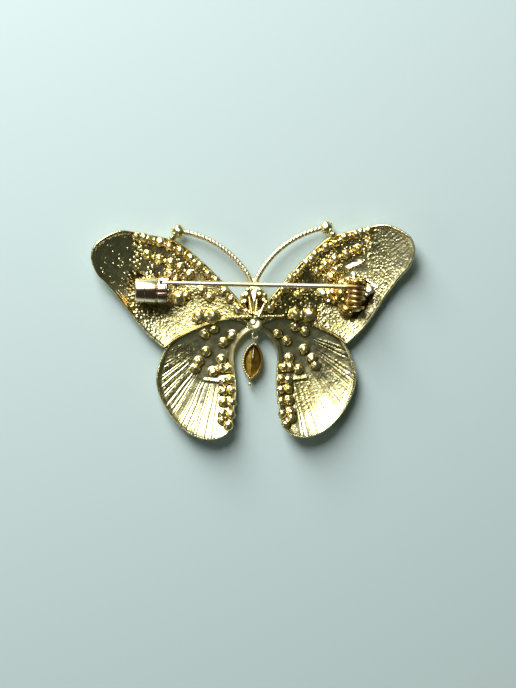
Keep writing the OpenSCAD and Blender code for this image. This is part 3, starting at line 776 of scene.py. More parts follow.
def makeGold(name, settings):
    material = bpy.data.materials.new(name)
    material.use_nodes = True
    nodes, link = material.node_tree.nodes, material.node_tree.links.new
    surface = nodes["Principled BSDF"]
    surface.inputs["Metallic"].default_value = 1.0
    skin = nodes.new("ShaderNodeGroup")
    skin.node_tree = skinGroup
    skin.inputs["Fine Scale"].default_value = settings["fine"]
    skin.inputs["Coarse Scale"].default_value = settings["coarse"]

    # colour: blotches, painted highlights and reflections, then a warm painted reflection and a dark
    # painted shade in the crevices
    crevice, lightPaint, grainy = [attributeNode(nodes, word) for word in ("crevice", "paintedLight", "grainy")]
    blotched = mixNode(nodes, settings["deep"])
    blotched.inputs["A"].default_value = (*settings["colour"], 1)
    link(skin.outputs["Blotch"], blotched.inputs["Factor"])
    lightPainted = mixNode(nodes, settings["paintedLight"])
    link(lightPaint.outputs["Fac"], lightPainted.inputs["Factor"])
    link(blotched.outputs["Result"], lightPainted.inputs["A"])
    last = lightPainted
    for colour, low, high in ((settings["warm"], 0.0, 0.5), (settings["crevice"], 0.45, 1.0)):
        depth = rangeNode(nodes, "From", low, high)
        shade = mixNode(nodes, colour)
        link(crevice.outputs["Fac"], depth.inputs["Value"])
        link(depth.outputs["Result"], shade.inputs["Factor"])
        link(last.outputs["Result"], shade.inputs["A"])
        last = shade
    link(last.outputs["Result"], surface.inputs["Base Color"])

    # roughness: blotches, and duller where it is grainy
    polish = rangeNode(nodes, "To", *settings["rough"])
    link(skin.outputs["Blotch"], polish.inputs["Value"])
    dull = mathNode(nodes, "MULTIPLY_ADD", 0.12)
    link(grainy.outputs["Fac"], dull.inputs[0])
    link(polish.outputs["Result"], dull.inputs[2])
    link(dull.outputs[0], surface.inputs["Roughness"])

    # fine bumps
    amount = mathNode(nodes, "ADD", settings["even"])
    link(grainy.outputs["Fac"], amount.inputs[0])
    lift = mathNode(nodes, "MULTIPLY")
    link(skin.outputs["Height"], lift.inputs[0])
    link(amount.outputs[0], lift.inputs[1])
    bump = nodes.new("ShaderNodeBump")
    bump.inputs["Strength"].default_value = settings["bump"]
    bump.inputs["Distance"].default_value = 0.05 * mm
    link(lift.outputs[0], bump.inputs["Height"])
    link(bump.outputs["Normal"], surface.inputs["Normal"])
    return material


wingGold = makeGold("wingGold", {
    "colour": (0.88, 0.83, 0.5), "deep": (0.8, 0.74, 0.4), "paintedLight": (0.72, 0.4, 0.07),
    "warm": (0.42, 0.37, 0.14), "crevice": (0.09, 0.06, 0.015), "rough": (0.16, 0.28), "fine": 5200,
    "coarse": 750, "bump": 0.6, "even": 0.0,
})
knobGold = makeGold("knobGold", {
    "colour": (0.95, 0.88, 0.5), "deep": (0.9, 0.78, 0.34), "paintedLight": (0.86, 0.5, 0.09),
    "warm": (0.82, 0.52, 0.1), "crevice": (0.12, 0.06, 0.015), "rough": (0.23, 0.33), "fine": 4200,
    "coarse": 1100, "bump": 0.1, "even": 1.0,
})
wireGold = makeGold("wireGold", {
    "colour": (0.97, 0.91, 0.64), "deep": (0.9, 0.81, 0.47), "paintedLight": (0.86, 0.6, 0.2),
    "warm": (0.7, 0.46, 0.16), "crevice": (0.16, 0.09, 0.03), "rough": (0.3, 0.42), "fine": 6000,
    "coarse": 900, "bump": 0.15, "even": 1.0,
})
hingeGold = makeGold("hingeGold", {
    "colour": (0.86, 0.74, 0.36), "deep": (0.72, 0.56, 0.2), "paintedLight": (0.96, 0.9, 0.66),
    "warm": (0.55, 0.37, 0.09), "crevice": (0.06, 0.035, 0.01), "rough": (0.2, 0.34), "fine": 5000,
    "coarse": 600, "bump": 0.15, "even": 1.0,
})
barrelGold = makeGold("barrelGold", {
    "colour": (0.99, 0.86, 0.6), "deep": (0.95, 0.8, 0.5), "paintedLight": (0.86, 0.6, 0.2),
    "warm": (0.62, 0.44, 0.32), "crevice": (0.3, 0.19, 0.13), "rough": (0.2, 0.27), "fine": 3000,
    "coarse": 500, "bump": 0.05, "even": 1.0,
})
amberGold = makeGold("amberGold", {
    "colour": (0.56, 0.36, 0.07), "deep": (0.4, 0.25, 0.03), "paintedLight": (0.95, 0.85, 0.55),
    "warm": (0.3, 0.19, 0.03), "crevice": (0.1, 0.06, 0.02), "rough": (0.3, 0.42), "fine": 5000,
    "coarse": 900, "bump": 0.25, "even": 1.0,
})
print("finishes made")

for side, word in sides:
    for name, outline, part, heights in (
        ("upperWing", upperOutline, upper, upperHeights), ("lowerWing", lowerOutline, lower, lowerHeights),
    ):
        plate = makePlate(smoothOutline(outline, wings["outlineSteps"]), part["cell"], heights, side)
        finishPiece(name + word, forSide(plate, side), wingGold, sharp=wings["sharp"])
print("wings made")

# knobs and beads

knobs = {
    "rise": 0.15,
    "size": 1.04,
    "sizeSpread": 0.16,
    "flat": 0.78,
    "nubs": 3,
    "nubSize": 0.45,
    "nubAway": 0.95,
    "nubTurns": (2.4, 2.1),  # from knob to knob, and from nub to nub
    "betweenSize": 0.7,
    "betweenNear": 0.9,
    "betweenFar": 2.7,
}


def floorAt(part, x, y):
    return float(dishHeight(x, y, part["crown"], part["dish"], wings["wall"]))


def shadeFoot(verts, layer, floorHeight, radius):  # painted shade: a knob is dark where it meets the wing
    for v in verts:
        rise = (v.co.z - floorHeight) / radius
        v[layer] = float(0.1 + 0.65 * (1 - rises(rise, -0.05, 0.65)))


def makeKnobs(side):
    bm = bmesh.new()
    layer = bm.verts.layers.float.new("crevice")
    for part, places, radius in (
        (upper, upperKnobs, upper["knob"]), (upper, upperBig, upper["bigKnob"]),
        (lower, lowerKnobs, lower["knob"]),
    ):
        for i, (x, y) in enumerate(places):
            first = len(bm.verts)
            z = floorAt(part, x, y)
            seed = i + 1 + 40 * (side < 0) + radius
            size = radius * (knobs["size"] + knobs["sizeSpread"] * lattice[i, 30 + side])
            addLump(bm, (side * x, y, z + knobs["rise"]), size, rough=0.14, seed=seed, flat=knobs["flat"])
            for k in range(knobs["nubs"]):  # smaller lumps that a knob was cast with
                turn = knobs["nubTurns"][0] * i + knobs["nubTurns"][1] * k + side
                away = radius * (knobs["nubAway"] - 0.1 * k)
                nub = (side * x + away * math.cos(turn), y + away * math.sin(turn), z + radius * 0.2)
                addLump(bm, nub, radius * knobs["nubSize"], rough=0.15, seed=seed + k, level=2)
            near = places[i - 1]
            if part is upper and knobs["betweenNear"] < math.dist(near, (x, y)) < knobs["betweenFar"]:
                middle = (side * (x + near[0]) / 2, (y + near[1]) / 2, z + 0.05)
                size = knobs["betweenSize"] * radius
                addLump(bm, middle, size, rough=0.18, seed=seed + 9, level=3, flat=0.8)
            shadeFoot(bm.verts[:][first:], layer, z, radius)
    return bm


beads = {
    "loose": [(4.8, 4.0), (5.6, 4.4), (9.2, 5.0), (9.6, 5.4), (10.0, 4.6), (9.6, 6.2), (10.4, 6.1),
              (7.0, 4.9), (6.4, 5.4), (8.4, 4.6), (11.2, 5.2), (3.9, 4.6), (6.2, 7.4), (7.2, 8.2)],
    "looseSize": 0.2,
    "rowCount": 10,
    "rowStart": (1.25, 2.42),
    "rowLength": 3.9,
    "rowSize": 0.24,
    "bandCount": 17,
    "bandStart": (20.6, 12.0),
    "bandWidth": 1.5,
    "bandLength": 5.2,
    "bandSize": 0.2,
}


def makeBeads(side):
    bm = bmesh.new()
    for i, (x, y) in enumerate(beads["loose"]):
        z = floorAt(upper, x, y) + 0.05
        addLump(bm, (side * x, y, z), beads["looseSize"] * (0.85 + 0.3 * lattice[i, 3]), level=3)
    startX, startY = beads["rowStart"]
    for i in range(beads["rowCount"]):  # row along the inner trailing edge
        x = startX + beads["rowLength"] * i / (beads["rowCount"] - 1)
        y = startY + 0.05 * math.sin(2.3 * i)
        z = floorAt(upper, x, y) + wings["rimHeight"]
        addLump(bm, (side * x, y, z), beads["rowSize"] + 0.04 * lattice[i, 9], level=3)
    startX, startY = beads["bandStart"]
    for i in range(beads["bandCount"]):  # uneven band of small beads before the tip
        x = startX + beads["bandWidth"] * (lattice[i, 12 + side] - 0.5)
        y = startY + beads["bandLength"] * i / (beads["bandCount"] - 1)
        size = beads["bandSize"] * (1 + lattice[i, 14])
        addLump(bm, (side * x, y, floorAt(upper, x, y)), size, rough=0.15, seed=i, level=3)
    return bm


for side, word in sides:
    finishPiece("knobs" + word, makeKnobs(side), knobGold)
    finishPiece("beads" + word, makeBeads(side), knobGold)
print("knobs made")

# body: a bowl with beads round it, two openings painted dark as shade, and strips of solder

thorax = {
    "place": (0, 5.2, 3.3),
    "radius": 2.45,
    "wall": 0.7,
    "bowlFlat": 0.4,
    "lip": 0.58,
    "beads": (-8, 26, 62, 118, 154, 188),  # degrees round the bowl
    "beadSize": 0.56,
    "beadInset": 0.28,
    "beadRise": 0.2,
    "lumps": ((1.0, 6.5, 0.6), (1.75, 6.0, 0.55), (0.75, 7.2, 0.5), (1.75, 3.6, 0.45),  # x, y, size
              (0.75, 3.1, 0.5)),
    "lumpHeight": 3.15,
    "domeFlat": 0.32,
    "domes": ((-1.75, 5.35, 3.7, 0.52), (0.95, 6.6, 3.8, 0.5), (-1.45, 6.6, 3.8, 0.55),  # x, y, z, size
              (1.7, 5.5, 3.7, 0.42), (-0.75, 3.35, 3.8, 0.5), (2.0, 6.3, 3.6, 0.34),
              (0.3, 3.05, 3.9, 0.55), (-1.6, 3.7, 3.6, 0.42), (-0.75, 7.35, 3.7, 0.42)),
    "openings": ((-1.55, 4.55, 0.62), (1.0, 4.7, 0.6), (1.45, 4.5, 0.5), (0.0, 4.2, 0.26)),  # x, y, radius
    "openingTop": 3.4,
    "strips": (  # top, foot, radius, darkness
        ((2.1, 5.3, 3.4), (0.75, 2.35, 4.15), 0.24, 0.1), ((0.5, 5.6, 3.5), (0.2, 2.9, 4.1), 0.16, 0.1),
        ((-0.95, 6.3, 3.4), (-0.45, 2.9, 4.0), 0.3, 0.24),
    ),
}


def makeThorax():
    bm = bmesh.new()
    place = Matrix.Translation(thorax["place"])
    r, wall = thorax["radius"], thorax["wall"]
    inner = r - wall
    turns = np.linspace(0, math.pi / 2, 24)
    outside = [(r * math.sin(a), -r * math.cos(a)) for a in turns]
    inside = [(inner * math.sin(a), -thorax["bowlFlat"] * inner * math.cos(a)) for a in turns[::-1]]
    addLathe(bm, outside + inside, place, 96)
    addRing(bm, r - wall / 2, wall * thorax["lip"], place, 20, 96)
    layer = bm.verts.layers.float.new("crevice")
    for v in bm.verts:  # the openings are painted dark as shade on the bowl
        v[layer] = 0.3 + 0.3 * noise.noise(v.co * 0.9)
        if v.co.z < thorax["openingTop"]:
            for x, y, size in thorax["openings"]:
                near = math.dist(v.co[:2], (x, y))
                v[layer] = max(v[layer], float(1 - rises(near, size, 0.15)))
    for i, degrees in enumerate(thorax["beads"]):
        turn, away = math.radians(degrees), r - thorax["beadInset"]
        centre = place @ Vector((away * math.cos(turn), away * math.sin(turn), thorax["beadRise"]))
        addLump(bm, centre, thorax["beadSize"], rough=0.12, seed=i + 3)
    for i, (x, y, size) in enumerate(thorax["lumps"]):
        for sign in (-1, 1):
            centre = (sign * x, y + 0.12 * sign, thorax["lumpHeight"])
            addLump(bm, centre, size, rough=0.14, seed=i + sign, flat=0.85)
    for x, y, z, size in thorax["domes"]:
        addDome(bm, (x, y, z), size, thorax["domeFlat"] * size)
    for top, foot, size, shade in thorax["strips"]:
        first = len(bm.verts)
        addRod(bm, top, foot, size, size * 1.2)
        addLump(bm, top, size * 1.1, level=3)
        paintFrom(bm, layer, first, shade)
    return bm


# wedge over the bowl, which the two antennae run into

crest = {
    "halfWidth": 0.85,
    "outline": ((-1, 9.3), (-0.85, 7.2), (-0.5, 6.0), (0, 4.8), (0.45, 6.0), (0.75, 7.2), (0.85, 9.3)),
    "point": 4.8,
    "foot": 2.5,
    "top": 4.4,
    "fall": 0.3,
    "tilt": 0.16,
    "edge": 0.13,
    "root": ((0.85, 9.75, 3.4), (0.3, 8.4, 3.35)),
    "rootSize": (0.48, 0.5),
    "stem": ((0, 5.3, 3.7), (0, 3.3, 3.35)),
    "stemSize": (0.24, 0.18),
}


def makeCrest():
    bm = bmesh.new()
    corners = [(share * crest["halfWidth"], y, crest["foot"]) for share, y in crest["outline"]]
    for v in raiseFace(bm, corners):
        v.co.z = crest["top"] - crest["fall"] * (v.co.y - crest["point"]) + crest["tilt"] * v.co.x
    roundEdges(bm, bm.edges[:], crest["edge"], 4)
    for sign in (-1, 1):
        start, end = [(sign * x, y, z) for x, y, z in crest["root"]]
        addRod(bm, start, end, *crest["rootSize"], segments=28)
        addLump(bm, end, crest["rootSize"][1])
    addRod(bm, *crest["stem"], *crest["stemSize"], segments=24)
    return bm


eye = {
    "ring": 0.4,
    "wire": 0.1,
    "place": (0, -0.37, 2.0),
}
knot = {
    "place": (0, 1.05, 3.4),
    "radius": 1.12,
    "foot": 1.75,
    "flat": 0.75,
    "lumpFlat": 0.4,
    "lumps": (((0.1, 1.05, 3.75), 1.2), ((-0.3, 1.5, 4.1), 0.62), ((0.68, 0.82, 3.98), 0.6),
              ((-0.45, 0.45, 3.85), 0.6), ((0.25, 0.25, 3.7), 0.5)),
    "toThorax": ((0, 1.75, 3.0), (0, 3.1, 3.1)),
    "toThoraxSize": (0.6, 0.5),
    "join": (0.1, 2.5, 3.65),
    "joinSize": (0.42, 0.16),
    "toWing": ((0.6, 1.7, 1.85), (2.8, 2.25, 1.7)),
    "toWingSize": (0.32, 0.26),
}


def addEye(bm, centre):
    place = Matrix.Translation(centre) @ Matrix.Rotation(math.pi / 2, 4, "Y")
    addRing(bm, eye["ring"], eye["wire"], place, 12, 40)


def makeKnot():
    bm = bmesh.new()
    x, y, z = knot["place"]
    r, low = knot["radius"], knot["foot"]
    turns = np.linspace(math.pi / 2, 0, 12)
    cap = [(r * math.sin(a), z + r * knot["flat"] * math.cos(a)) for a in turns]
    addLathe(bm, [(0, low - 0.9), (r * 0.7, low - 0.65), (r, low)] + cap, Matrix.Translation((x, y, 0)), 48)
    for centre, size in knot["lumps"]:
        addDome(bm, centre, size, knot["lumpFlat"] * size)
    addRod(bm, *knot["toThorax"], *knot["toThoraxSize"])
    addDome(bm, knot["join"], *knot["joinSize"])
    layer = bm.verts.layers.float.new("crevice")
    grainy = bm.verts.layers.float.new("grainy")
    for v in bm.verts:
        v[layer] = 0.1 + 0.4 * noise.noise(v.co * 1.3)
        v[grainy] = 1.2
    # the webs to the wings are painted dark as shade
    first = len(bm.verts)
    for sign in (-1, 1):
        start, end = [(sign * px, py, pz) for px, py, pz in knot["toWing"]]
        addRod(bm, start, end, *knot["toWingSize"])
    paintFrom(bm, layer, first, 0.6)
    addEye(bm, eye["place"])
    ex, ey, ez = eye["place"]
    wire = eye["wire"]
    addRod(bm, (ex, ey + eye["ring"], ez), (ex, y - r * 0.6, ez), wire * 1.2, wire * 1.6, segments=12)
    return bm


finishPiece("thoraxBowl", makeThorax(), knobGold)
finishPiece("thoraxCrest", makeCrest(), wireGold)
finishPiece("knot", makeKnot(), wingGold)

# antennae: three strands twisted into a wire that curves down to a ball beside the wing

antenna = {
    "root": (0.6, 9.2, 3.4),
    "arc": 17.1,
    "from": 152.25,
    "sweep": 54.0,
    "fall": 1.3,
    "wire": 0.49,
    "strands": 3,
    "pitch": 2.1,
    "strandDepth": 0.16,
    "segments": 30,
    "steps": 260,
}
ball = {
    "place": (13.3, 18.1, 2.1),
    "size": 1.24,
    "flat": 0.85,
    "nubs": 5,
    "nubAway": 0.95,
    "nubSize": 0.34,
    "seat": (14.4, 16.8),
    "seatRise": 0.5,
    "seatSize": 0.72,
    "post": 0.6,
    "join": (0.1, 0.1, 0.3),
    "joinSize": 0.5,
}


def makeAntenna(side):
    bm = bmesh.new()
    big = antenna["arc"]
    upright = Matrix.Translation((big, 0, 0)) @ Matrix.Rotation(math.pi / 2, 4, "X")
    ring = bmesh.ops.create_circle(bm, cap_ends=False, segments=antenna["segments"], radius=antenna["wire"],
                                   matrix=upright)
    edges = list({e for v in ring["verts"] for e in v.link_edges})
    sweep, start = math.radians(antenna["sweep"]), math.radians(antenna["from"])
    bmesh.ops.spin(bm, geom=ring["verts"] + edges, cent=(0, 0, 0), axis=(0, 0, 1), dvec=(0, 0, 0),
                   angle=sweep, steps=antenna["steps"], use_merge=False, use_duplicate=False)
    layer = bm.verts.layers.float.new("crevice")
    for v in bm.verts:
        along = big * math.atan2(v.co.y, v.co.x)
        away, up = math.hypot(v.co.x, v.co.y) - big, v.co.z
        turn = math.atan2(up, away) - 2 * math.pi * along / antenna["pitch"]
        strand = abs(math.cos(antenna["strands"] * turn / 2))
        twist = 1 - antenna["strandDepth"] + antenna["strandDepth"] * strand
        # painted shade in the grooves between the strands
        v[layer] = 0.4 * (1 - strand) ** 2
        out = Vector((v.co.x, v.co.y, 0)).normalized()
        v.co = out * (big + away * twist) + Vector((0, 0, up * twist))
    heading = start - math.pi / 2 - sweep / 2
    tilt = math.asin(antenna["fall"] / (2 * big * math.sin(sweep / 2)))
    place = (
        Matrix.Translation(antenna["root"])
        @ Matrix.Rotation(tilt, 4, Vector((-math.sin(heading), math.cos(heading), 0)))
        @ Matrix.Translation(Vector((math.cos(start), math.sin(start), 0)) * -big)
        @ Matrix.Rotation(start - sweep, 4, "Z")
    )
    bmesh.ops.transform(bm, matrix=place, verts=bm.verts)
    return forSide(bm, side)


def makeBall(side):
    bm = bmesh.new()
    centre = Vector(ball["place"])
    addLump(bm, centre, ball["size"], rough=0.12, seed=3, flat=ball["flat"])
    for k in range(ball["nubs"]):
        turn = 0.6 + 1.25 * k
        nub = Vector((ball["nubAway"] * math.cos(turn), ball["nubAway"] * math.sin(turn), 0.15))
        addLump(bm, centre + nub, ball["nubSize"], rough=0.12, seed=k, level=3)
    seat = Vector((*ball["seat"], floorAt(upper, *ball["seat"]) + ball["seatRise"]))
    addRod(bm, centre, seat - Vector((0, 0, 0.7)), ball["post"], ball["post"])
    addLump(bm, seat, ball["seatSize"], rough=0.14, seed=6)
    addLump(bm, (centre + seat) / 2 + Vector(ball["join"]), ball["joinSize"], rough=0.14, seed=7)
    return forSide(bm, side)


for side, word in sides:
    finishPiece("antenna" + word, makeAntenna(side), wireGold)
    finishPiece("ball" + word, makeBall(side), knobGold)
print("body and antennae made")

# pin, hinge and catch, drawn along the pin's line: x from the rivet, y towards the antennae

clasp = {
    "rivet": (18.3, 7.25),
    "barrelEnd": (-21.0, 9.05),
    "pinHeight": 6.2,
    "pivotHeight": 5.08,
    "catchOffset": 1.42,
}
claspRun = math.dist(clasp["rivet"], clasp["barrelEnd"])
claspTurn = math.atan2(clasp["rivet"][1] - clasp["barrelEnd"][1], clasp["rivet"][0] - clasp["barrelEnd"][0])
alongPin = Matrix.Translation((*clasp["rivet"], 0)) @ Matrix.Rotation(claspTurn, 4, "Z")
barrelTurn = Matrix(((0, 0, 1, 0), (1, 0, 0, 0), (0, 1, 0, 0), (0, 0, 0, 1)))  # its length is z, its back y
barrelPlace = Matrix.Translation((-claspRun, -clasp["catchOffset"], clasp["pinHeight"]))
atBarrel = alongPin @ barrelPlace @ barrelTurn

pin = {
    "coilRadius": 1.12,
    "coilWire": 0.46,
    "turns": 3.1,
    "pitch": 0.92,
    "wire": 0.42,
    "tip": 0.28,
    "stepFrom": 1.2,
    "stepTo": 2.6,
    "taperFrom": 23.84,
    "pointFrom": 33.64,
    "length": 34.84,
    "segments": 28,
    "coilSteps": 64,
}


def pinStations():  # how far from the rivet, and how thick
    coil, wire, tip = pin["coilWire"], pin["wire"], pin["tip"]
    stations = [(pin["stepFrom"], coil), (pin["stepTo"] - 0.4, coil - 0.01), (pin["stepTo"], wire)]
    stations += [(pin["taperFrom"], wire), (pin["pointFrom"], tip)]
    for share in (0.25, 0.5, 0.7, 0.85, 0.95, 1.0):  # the point narrows in a round curve
        along = pin["pointFrom"] + share * (pin["length"] - pin["pointFrom"])
        stations.append((along, tip * math.sqrt(max(0.02, 1 - share ** 2))))
    return stations


def makePin():
    bm = bmesh.new()
    upright = Matrix.Translation((0, 0, clasp["pinHeight"])) @ Matrix.Rotation(math.pi / 2, 4, "Y")
    made = bmesh.ops.create_circle(bm, cap_ends=False, segments=pin["segments"], radius=pin["coilWire"],
                                   matrix=upright)
    ring = list({e for v in made["verts"] for e in v.link_edges})
    steps = int(pin["coilSteps"] * pin["turns"])
    coil = bmesh.ops.spin(bm, geom=made["verts"] + ring, cent=(0, 0, clasp["pivotHeight"]), axis=(0, 1, 0),
                          dvec=(0, -pin["pitch"] * pin["turns"] / steps, 0), steps=steps,
                          angle=2 * math.pi * pin["turns"], use_merge=False, use_duplicate=False)
    bmesh.ops.edgeloop_fill(bm, edges=madeEdges(coil["geom_last"]))
    before, size = 0.0, pin["coilWire"]
    for along, radius in pinStations():
        grown = bmesh.ops.extrude_edge_only(bm, edges=ring)["geom"]
        verts, ring = madeVerts(grown), madeEdges(grown)
        bmesh.ops.translate(bm, vec=(before - along, 0, 0), verts=verts)
        thinner = (1, radius / size, radius / size)
        centre = Matrix.Translation((along, 0, -clasp["pinHeight"]))
        bmesh.ops.scale(bm, vec=thinner, space=centre, verts=verts)
        before, size = along, radius
    bmesh.ops.edgeloop_fill(bm, edges=ring)
    layer = bm.verts.layers.float.new("crevice")
    for v in bm.verts:  # the coil is brown, with painted shade on the inside of its turns; the stem stays gold
        away = math.hypot(v.co.x, v.co.z - clasp["pivotHeight"]) - pin["coilRadius"]
        coiled = float(rises(v.co.x, -2.6, 1.6))
        v[layer] = coiled * float(0.58 + 0.42 * (1 - rises(away, 0.1, 0.3)))
    bmesh.ops.transform(bm, matrix=alongPin, verts=bm.verts)
    return bm


finishPiece("pinWithCoil", makePin(), wireGold, body="pin", node="pin_stem")

hinge = {
    "pad": ((15.1, 8.2), (16.6, 9.0), (19.4, 8.9), (20.9, 7.9), (21.2, 6.8), (20.6, 5.9), (19.6, 5.4),
            (19.1, 4.3), (18.1, 3.0), (17.2, 2.0), (15.9, 1.8), (15.0, 2.9), (14.8, 5.5)),
    "padFoot": 1.25,
    "padTop": 3.55,
    "padEdge": 0.8,
    "padLumps": 0.26,
    "padShift": (15.3, 6.9, 0),
    "earThickness": 0.5,
    "earRadius": 1.5,
    "earFoot": 3.0,
    "earEdge": 0.12,
    "earPlaces": (0.6, -3.95),
    "backLow": (1.82, -1.3, 2.9),
    "backHigh": (2.37, 0.75, 4.9),
    "lumps": ((16.5, 3.2, 3.0, 1.25, 0.4), (15.6, 6.1, 3.0, 1.05, 0.3),  # x, y, z, size, darkness
              (15.9, 7.9, 2.9, 0.9, 0.3), (14.6, 5.0, 2.6, 0.8, 0.2), (13.2, 5.5, 2.8, 0.8, 0.3)),
    "amber": ((16.3, 3.6, 4.05, 0.6), (17.2, 2.9, 3.8, 0.45), (15.5, 6.4, 3.95, 0.6),  # x, y, z, size
              (14.7, 5.4, 3.35, 0.4), (15.9, 5.2, 3.9, 0.42), (16.4, 7.9, 3.85, 0.45)),
    "bright": ((20.5, 6.8, 5.2, 0.9), (20.05, 6.1, 4.9, 0.6), (16.9, 8.8, 3.9, 0.36),  # x, y, z, size
               (17.9, 8.95, 3.9, 0.36), (17.9, 9.6, 3.5, 0.5), (12.4, 6.4, 3.5, 0.62),
               (13.3, 5.0, 3.4, 0.42), (14.0, 6.6, 3.6, 0.4)),
    "streaks": (((20.5, 8.4), (22.0, 7.3), 0.42), ((21.5, 5.2), (21.55, 3.7), 0.36)),  # start, end, size
    "streakDomes": 5,
    "domeFlat": 0.4,
}


def addPad(bm):  # soldered pad with a lumpy skin
    part = bmesh.new()
    for v in raiseFace(part, [(px, py, hinge["padFoot"]) for px, py in hinge["pad"]]):
        v.co.z = hinge["padTop"]
    upperEdges = [e for e in part.edges if min(v.co.z for v in e.verts) > hinge["padTop"] - 1e-4]
    roundEdges(part, upperEdges, hinge["padEdge"], 5)
    bmesh.ops.triangulate(part, faces=part.faces[:])
    for reach in (1.6, 0.8, 0.4, 0.25):
        long = [e for e in part.edges if e.calc_length() > reach]
        bmesh.ops.subdivide_edges(part, edges=long, cuts=1)
        bmesh.ops.triangulate(part, faces=part.faces[:])
    part.normal_update()
    layer = part.verts.layers.float.new("crevice")
    shift = Vector(hinge["padShift"])
    for v in part.verts:
        bump = noise.noise(v.co * 0.8 + shift) + 0.4 * noise.noise(v.co * 2.2 + shift)
        v.co += v.normal * hinge["padLumps"] * bump
        v[layer] = min(0.95, max(0.05, 0.45 - 0.9 * bump))
    addPart(bm, part, Matrix())


def addEar(bm, place):
    part = bmesh.new()
    layer = part.verts.layers.float.new("crevice")
    r, lift, foot = hinge["earRadius"], clasp["pivotHeight"], hinge["earFoot"]
    arc = [(r * math.cos(a), lift + r * math.sin(a)) for a in np.linspace(math.pi, 0.0, 28)]
    raised = raiseFace(part, [(px, place, pz) for px, pz in [(-r, foot)] + arc + [(r, foot)]])
    bmesh.ops.translate(part, vec=(0, hinge["earThickness"], 0), verts=raised)
    rims = [e for e in part.edges if abs(e.verts[0].co.y - e.verts[1].co.y) < 1e-4]
    roundEdges(part, rims, hinge["earEdge"], 3)
    paintFrom(part, layer, 0, 0.4)
    addPart(bm, part, alongPin)


def makeHinge():
    bm = bmesh.new()
    layer = bm.verts.layers.float.new("crevice")
    paintedLight = bm.verts.layers.float.new("paintedLight")
    addPad(bm)
    for place in hinge["earPlaces"]:
        addEar(bm, place)
    addBlock(bm, hinge["backLow"], hinge["backHigh"], alongPin, 0.2, segments=3)
    for i, (x, y, z, size, shade) in enumerate(hinge["lumps"]):
        first = len(bm.verts)
        addLump(bm, (x, y, z), size, rough=0.2, seed=4 + i, flat=0.9)
        # painted shade towards each lump's foot
        for v in bm.verts[:][first:]:
            low = float(1 - rises(v.co.z - z, -0.3 * size, 0.8 * size))
            v[layer] = min(0.9, shade + 0.5 * low)
    first = len(bm.verts)
    for x, y, z, size in hinge["amber"]:
        addDome(bm, (x, y, z), size, hinge["domeFlat"] * size)
    paintFrom(bm, layer, first, 0.42)
    # painted highlights: these domes and streaks take the pale painted-light colour
    first = len(bm.verts)
    for x, y, z, size in hinge["bright"]:
        addDome(bm, (x, y, z), size, hinge["domeFlat"] * size)
    for start, end, size in hinge["streaks"]:
        for share in np.linspace(0, 1, hinge["streakDomes"]):
            x, y = np.add(start, share * np.subtract(end, start))
            addDome(bm, (x, y, floorAt(upper, x, y) + 0.15), size, 0.3 * size)
    paintFrom(bm, paintedLight, first, 1.0)
    return bm


finishPiece("hingeBracket", makeHinge(), hingeGold)

barrel = {
    "radius": 2.3,
    "length": 3.9,
    "edge": 0.42,
    "seam": 1.64,
    "groove": 0.1,
    "taper": 0.2,
    "arbor": 0.6,
    "arborEnd": 5.9,
    "nub": (0.9, 0.28, 0.72),  # wide radius, narrow radius, length
    "footLow": (-1.15, -4.9, 0.58),
    "footHigh": (1.15, 0, 3.32),
    "stripe": (-44, 12),  # degrees round from its back
    "stripeSoft": 10,
    "stripeShade": 0.7,
}


def bandShade(spot):  # painted dark reflection: a brown stripe along the barrel's back
    first, last = barrel["stripe"]
    soft = barrel["stripeSoft"]
    turn = math.degrees(math.atan2(spot.x, spot.y))
    on = math.hypot(spot.x, spot.y) > barrel["radius"] - 0.6 and spot.z > 0.05
    return barrel["stripeShade"] * on * float(rises(turn, first, soft) * falls(turn, last, soft))


def makeBarrel():
    bm = bmesh.new()
    r, edge, groove, seam = barrel["radius"], barrel["edge"], barrel["groove"], barrel["seam"]
    end, thin = barrel["length"], barrel["taper"]
    waist = r - thin / 2
    turns = np.linspace(0, math.pi / 2, 8)
    profile = [(0, 0), (r * 0.5, 0)]
    profile += [(r - thin - edge + edge * math.sin(a), edge - edge * math.cos(a)) for a in turns]
    profile += [(waist, seam - 0.02), (waist - groove * 0.6, seam), (waist - groove, seam + 0.08)]
    profile += [(waist - groove * 0.6, seam + 0.16), (waist, seam + 0.18)]
    profile += [(r, end - 0.3), (r - 0.03, end - 0.12), (r - 0.12, end), (0, end)]
    addLathe(bm, profile, atBarrel, 96)
    layer = bm.verts.layers.float.new("crevice")
    back = atBarrel.inverted()
    for v in bm.verts:
        spot = back @ v.co
        v[layer] = bandShade(spot) if spot.z < end - 0.05 else 0.5
    arbor, far = barrel["arbor"], barrel["arborEnd"]
    wide, narrow, long = barrel["nub"]
    profile = [(0, end - 0.1), (arbor, end - 0.1), (arbor, far), (wide, far), (wide - 0.02, far + 0.06),
               (narrow + 0.1, far + long - 0.12), (narrow, far + long - 0.03), (0, far + long)]
    addLathe(bm, profile, atBarrel, 48)
    addBlock(bm, barrel["footLow"], barrel["footHigh"], atBarrel, 0.25)
    return bm


finishPiece("catchBarrel", makeBarrel(), barrelGold)

collar = {
    "start": 4.0,
    "length": 1.8,
    "wall": 0.4,
    "bore": 0.64,
    "sleeve": 0.92,
    "mouth": (61, 346),
    "tabTurn": 14,
    "tab": (0.25, 2.15, 3.08),  # half width, foot, top
    "flange": 5.1,
}


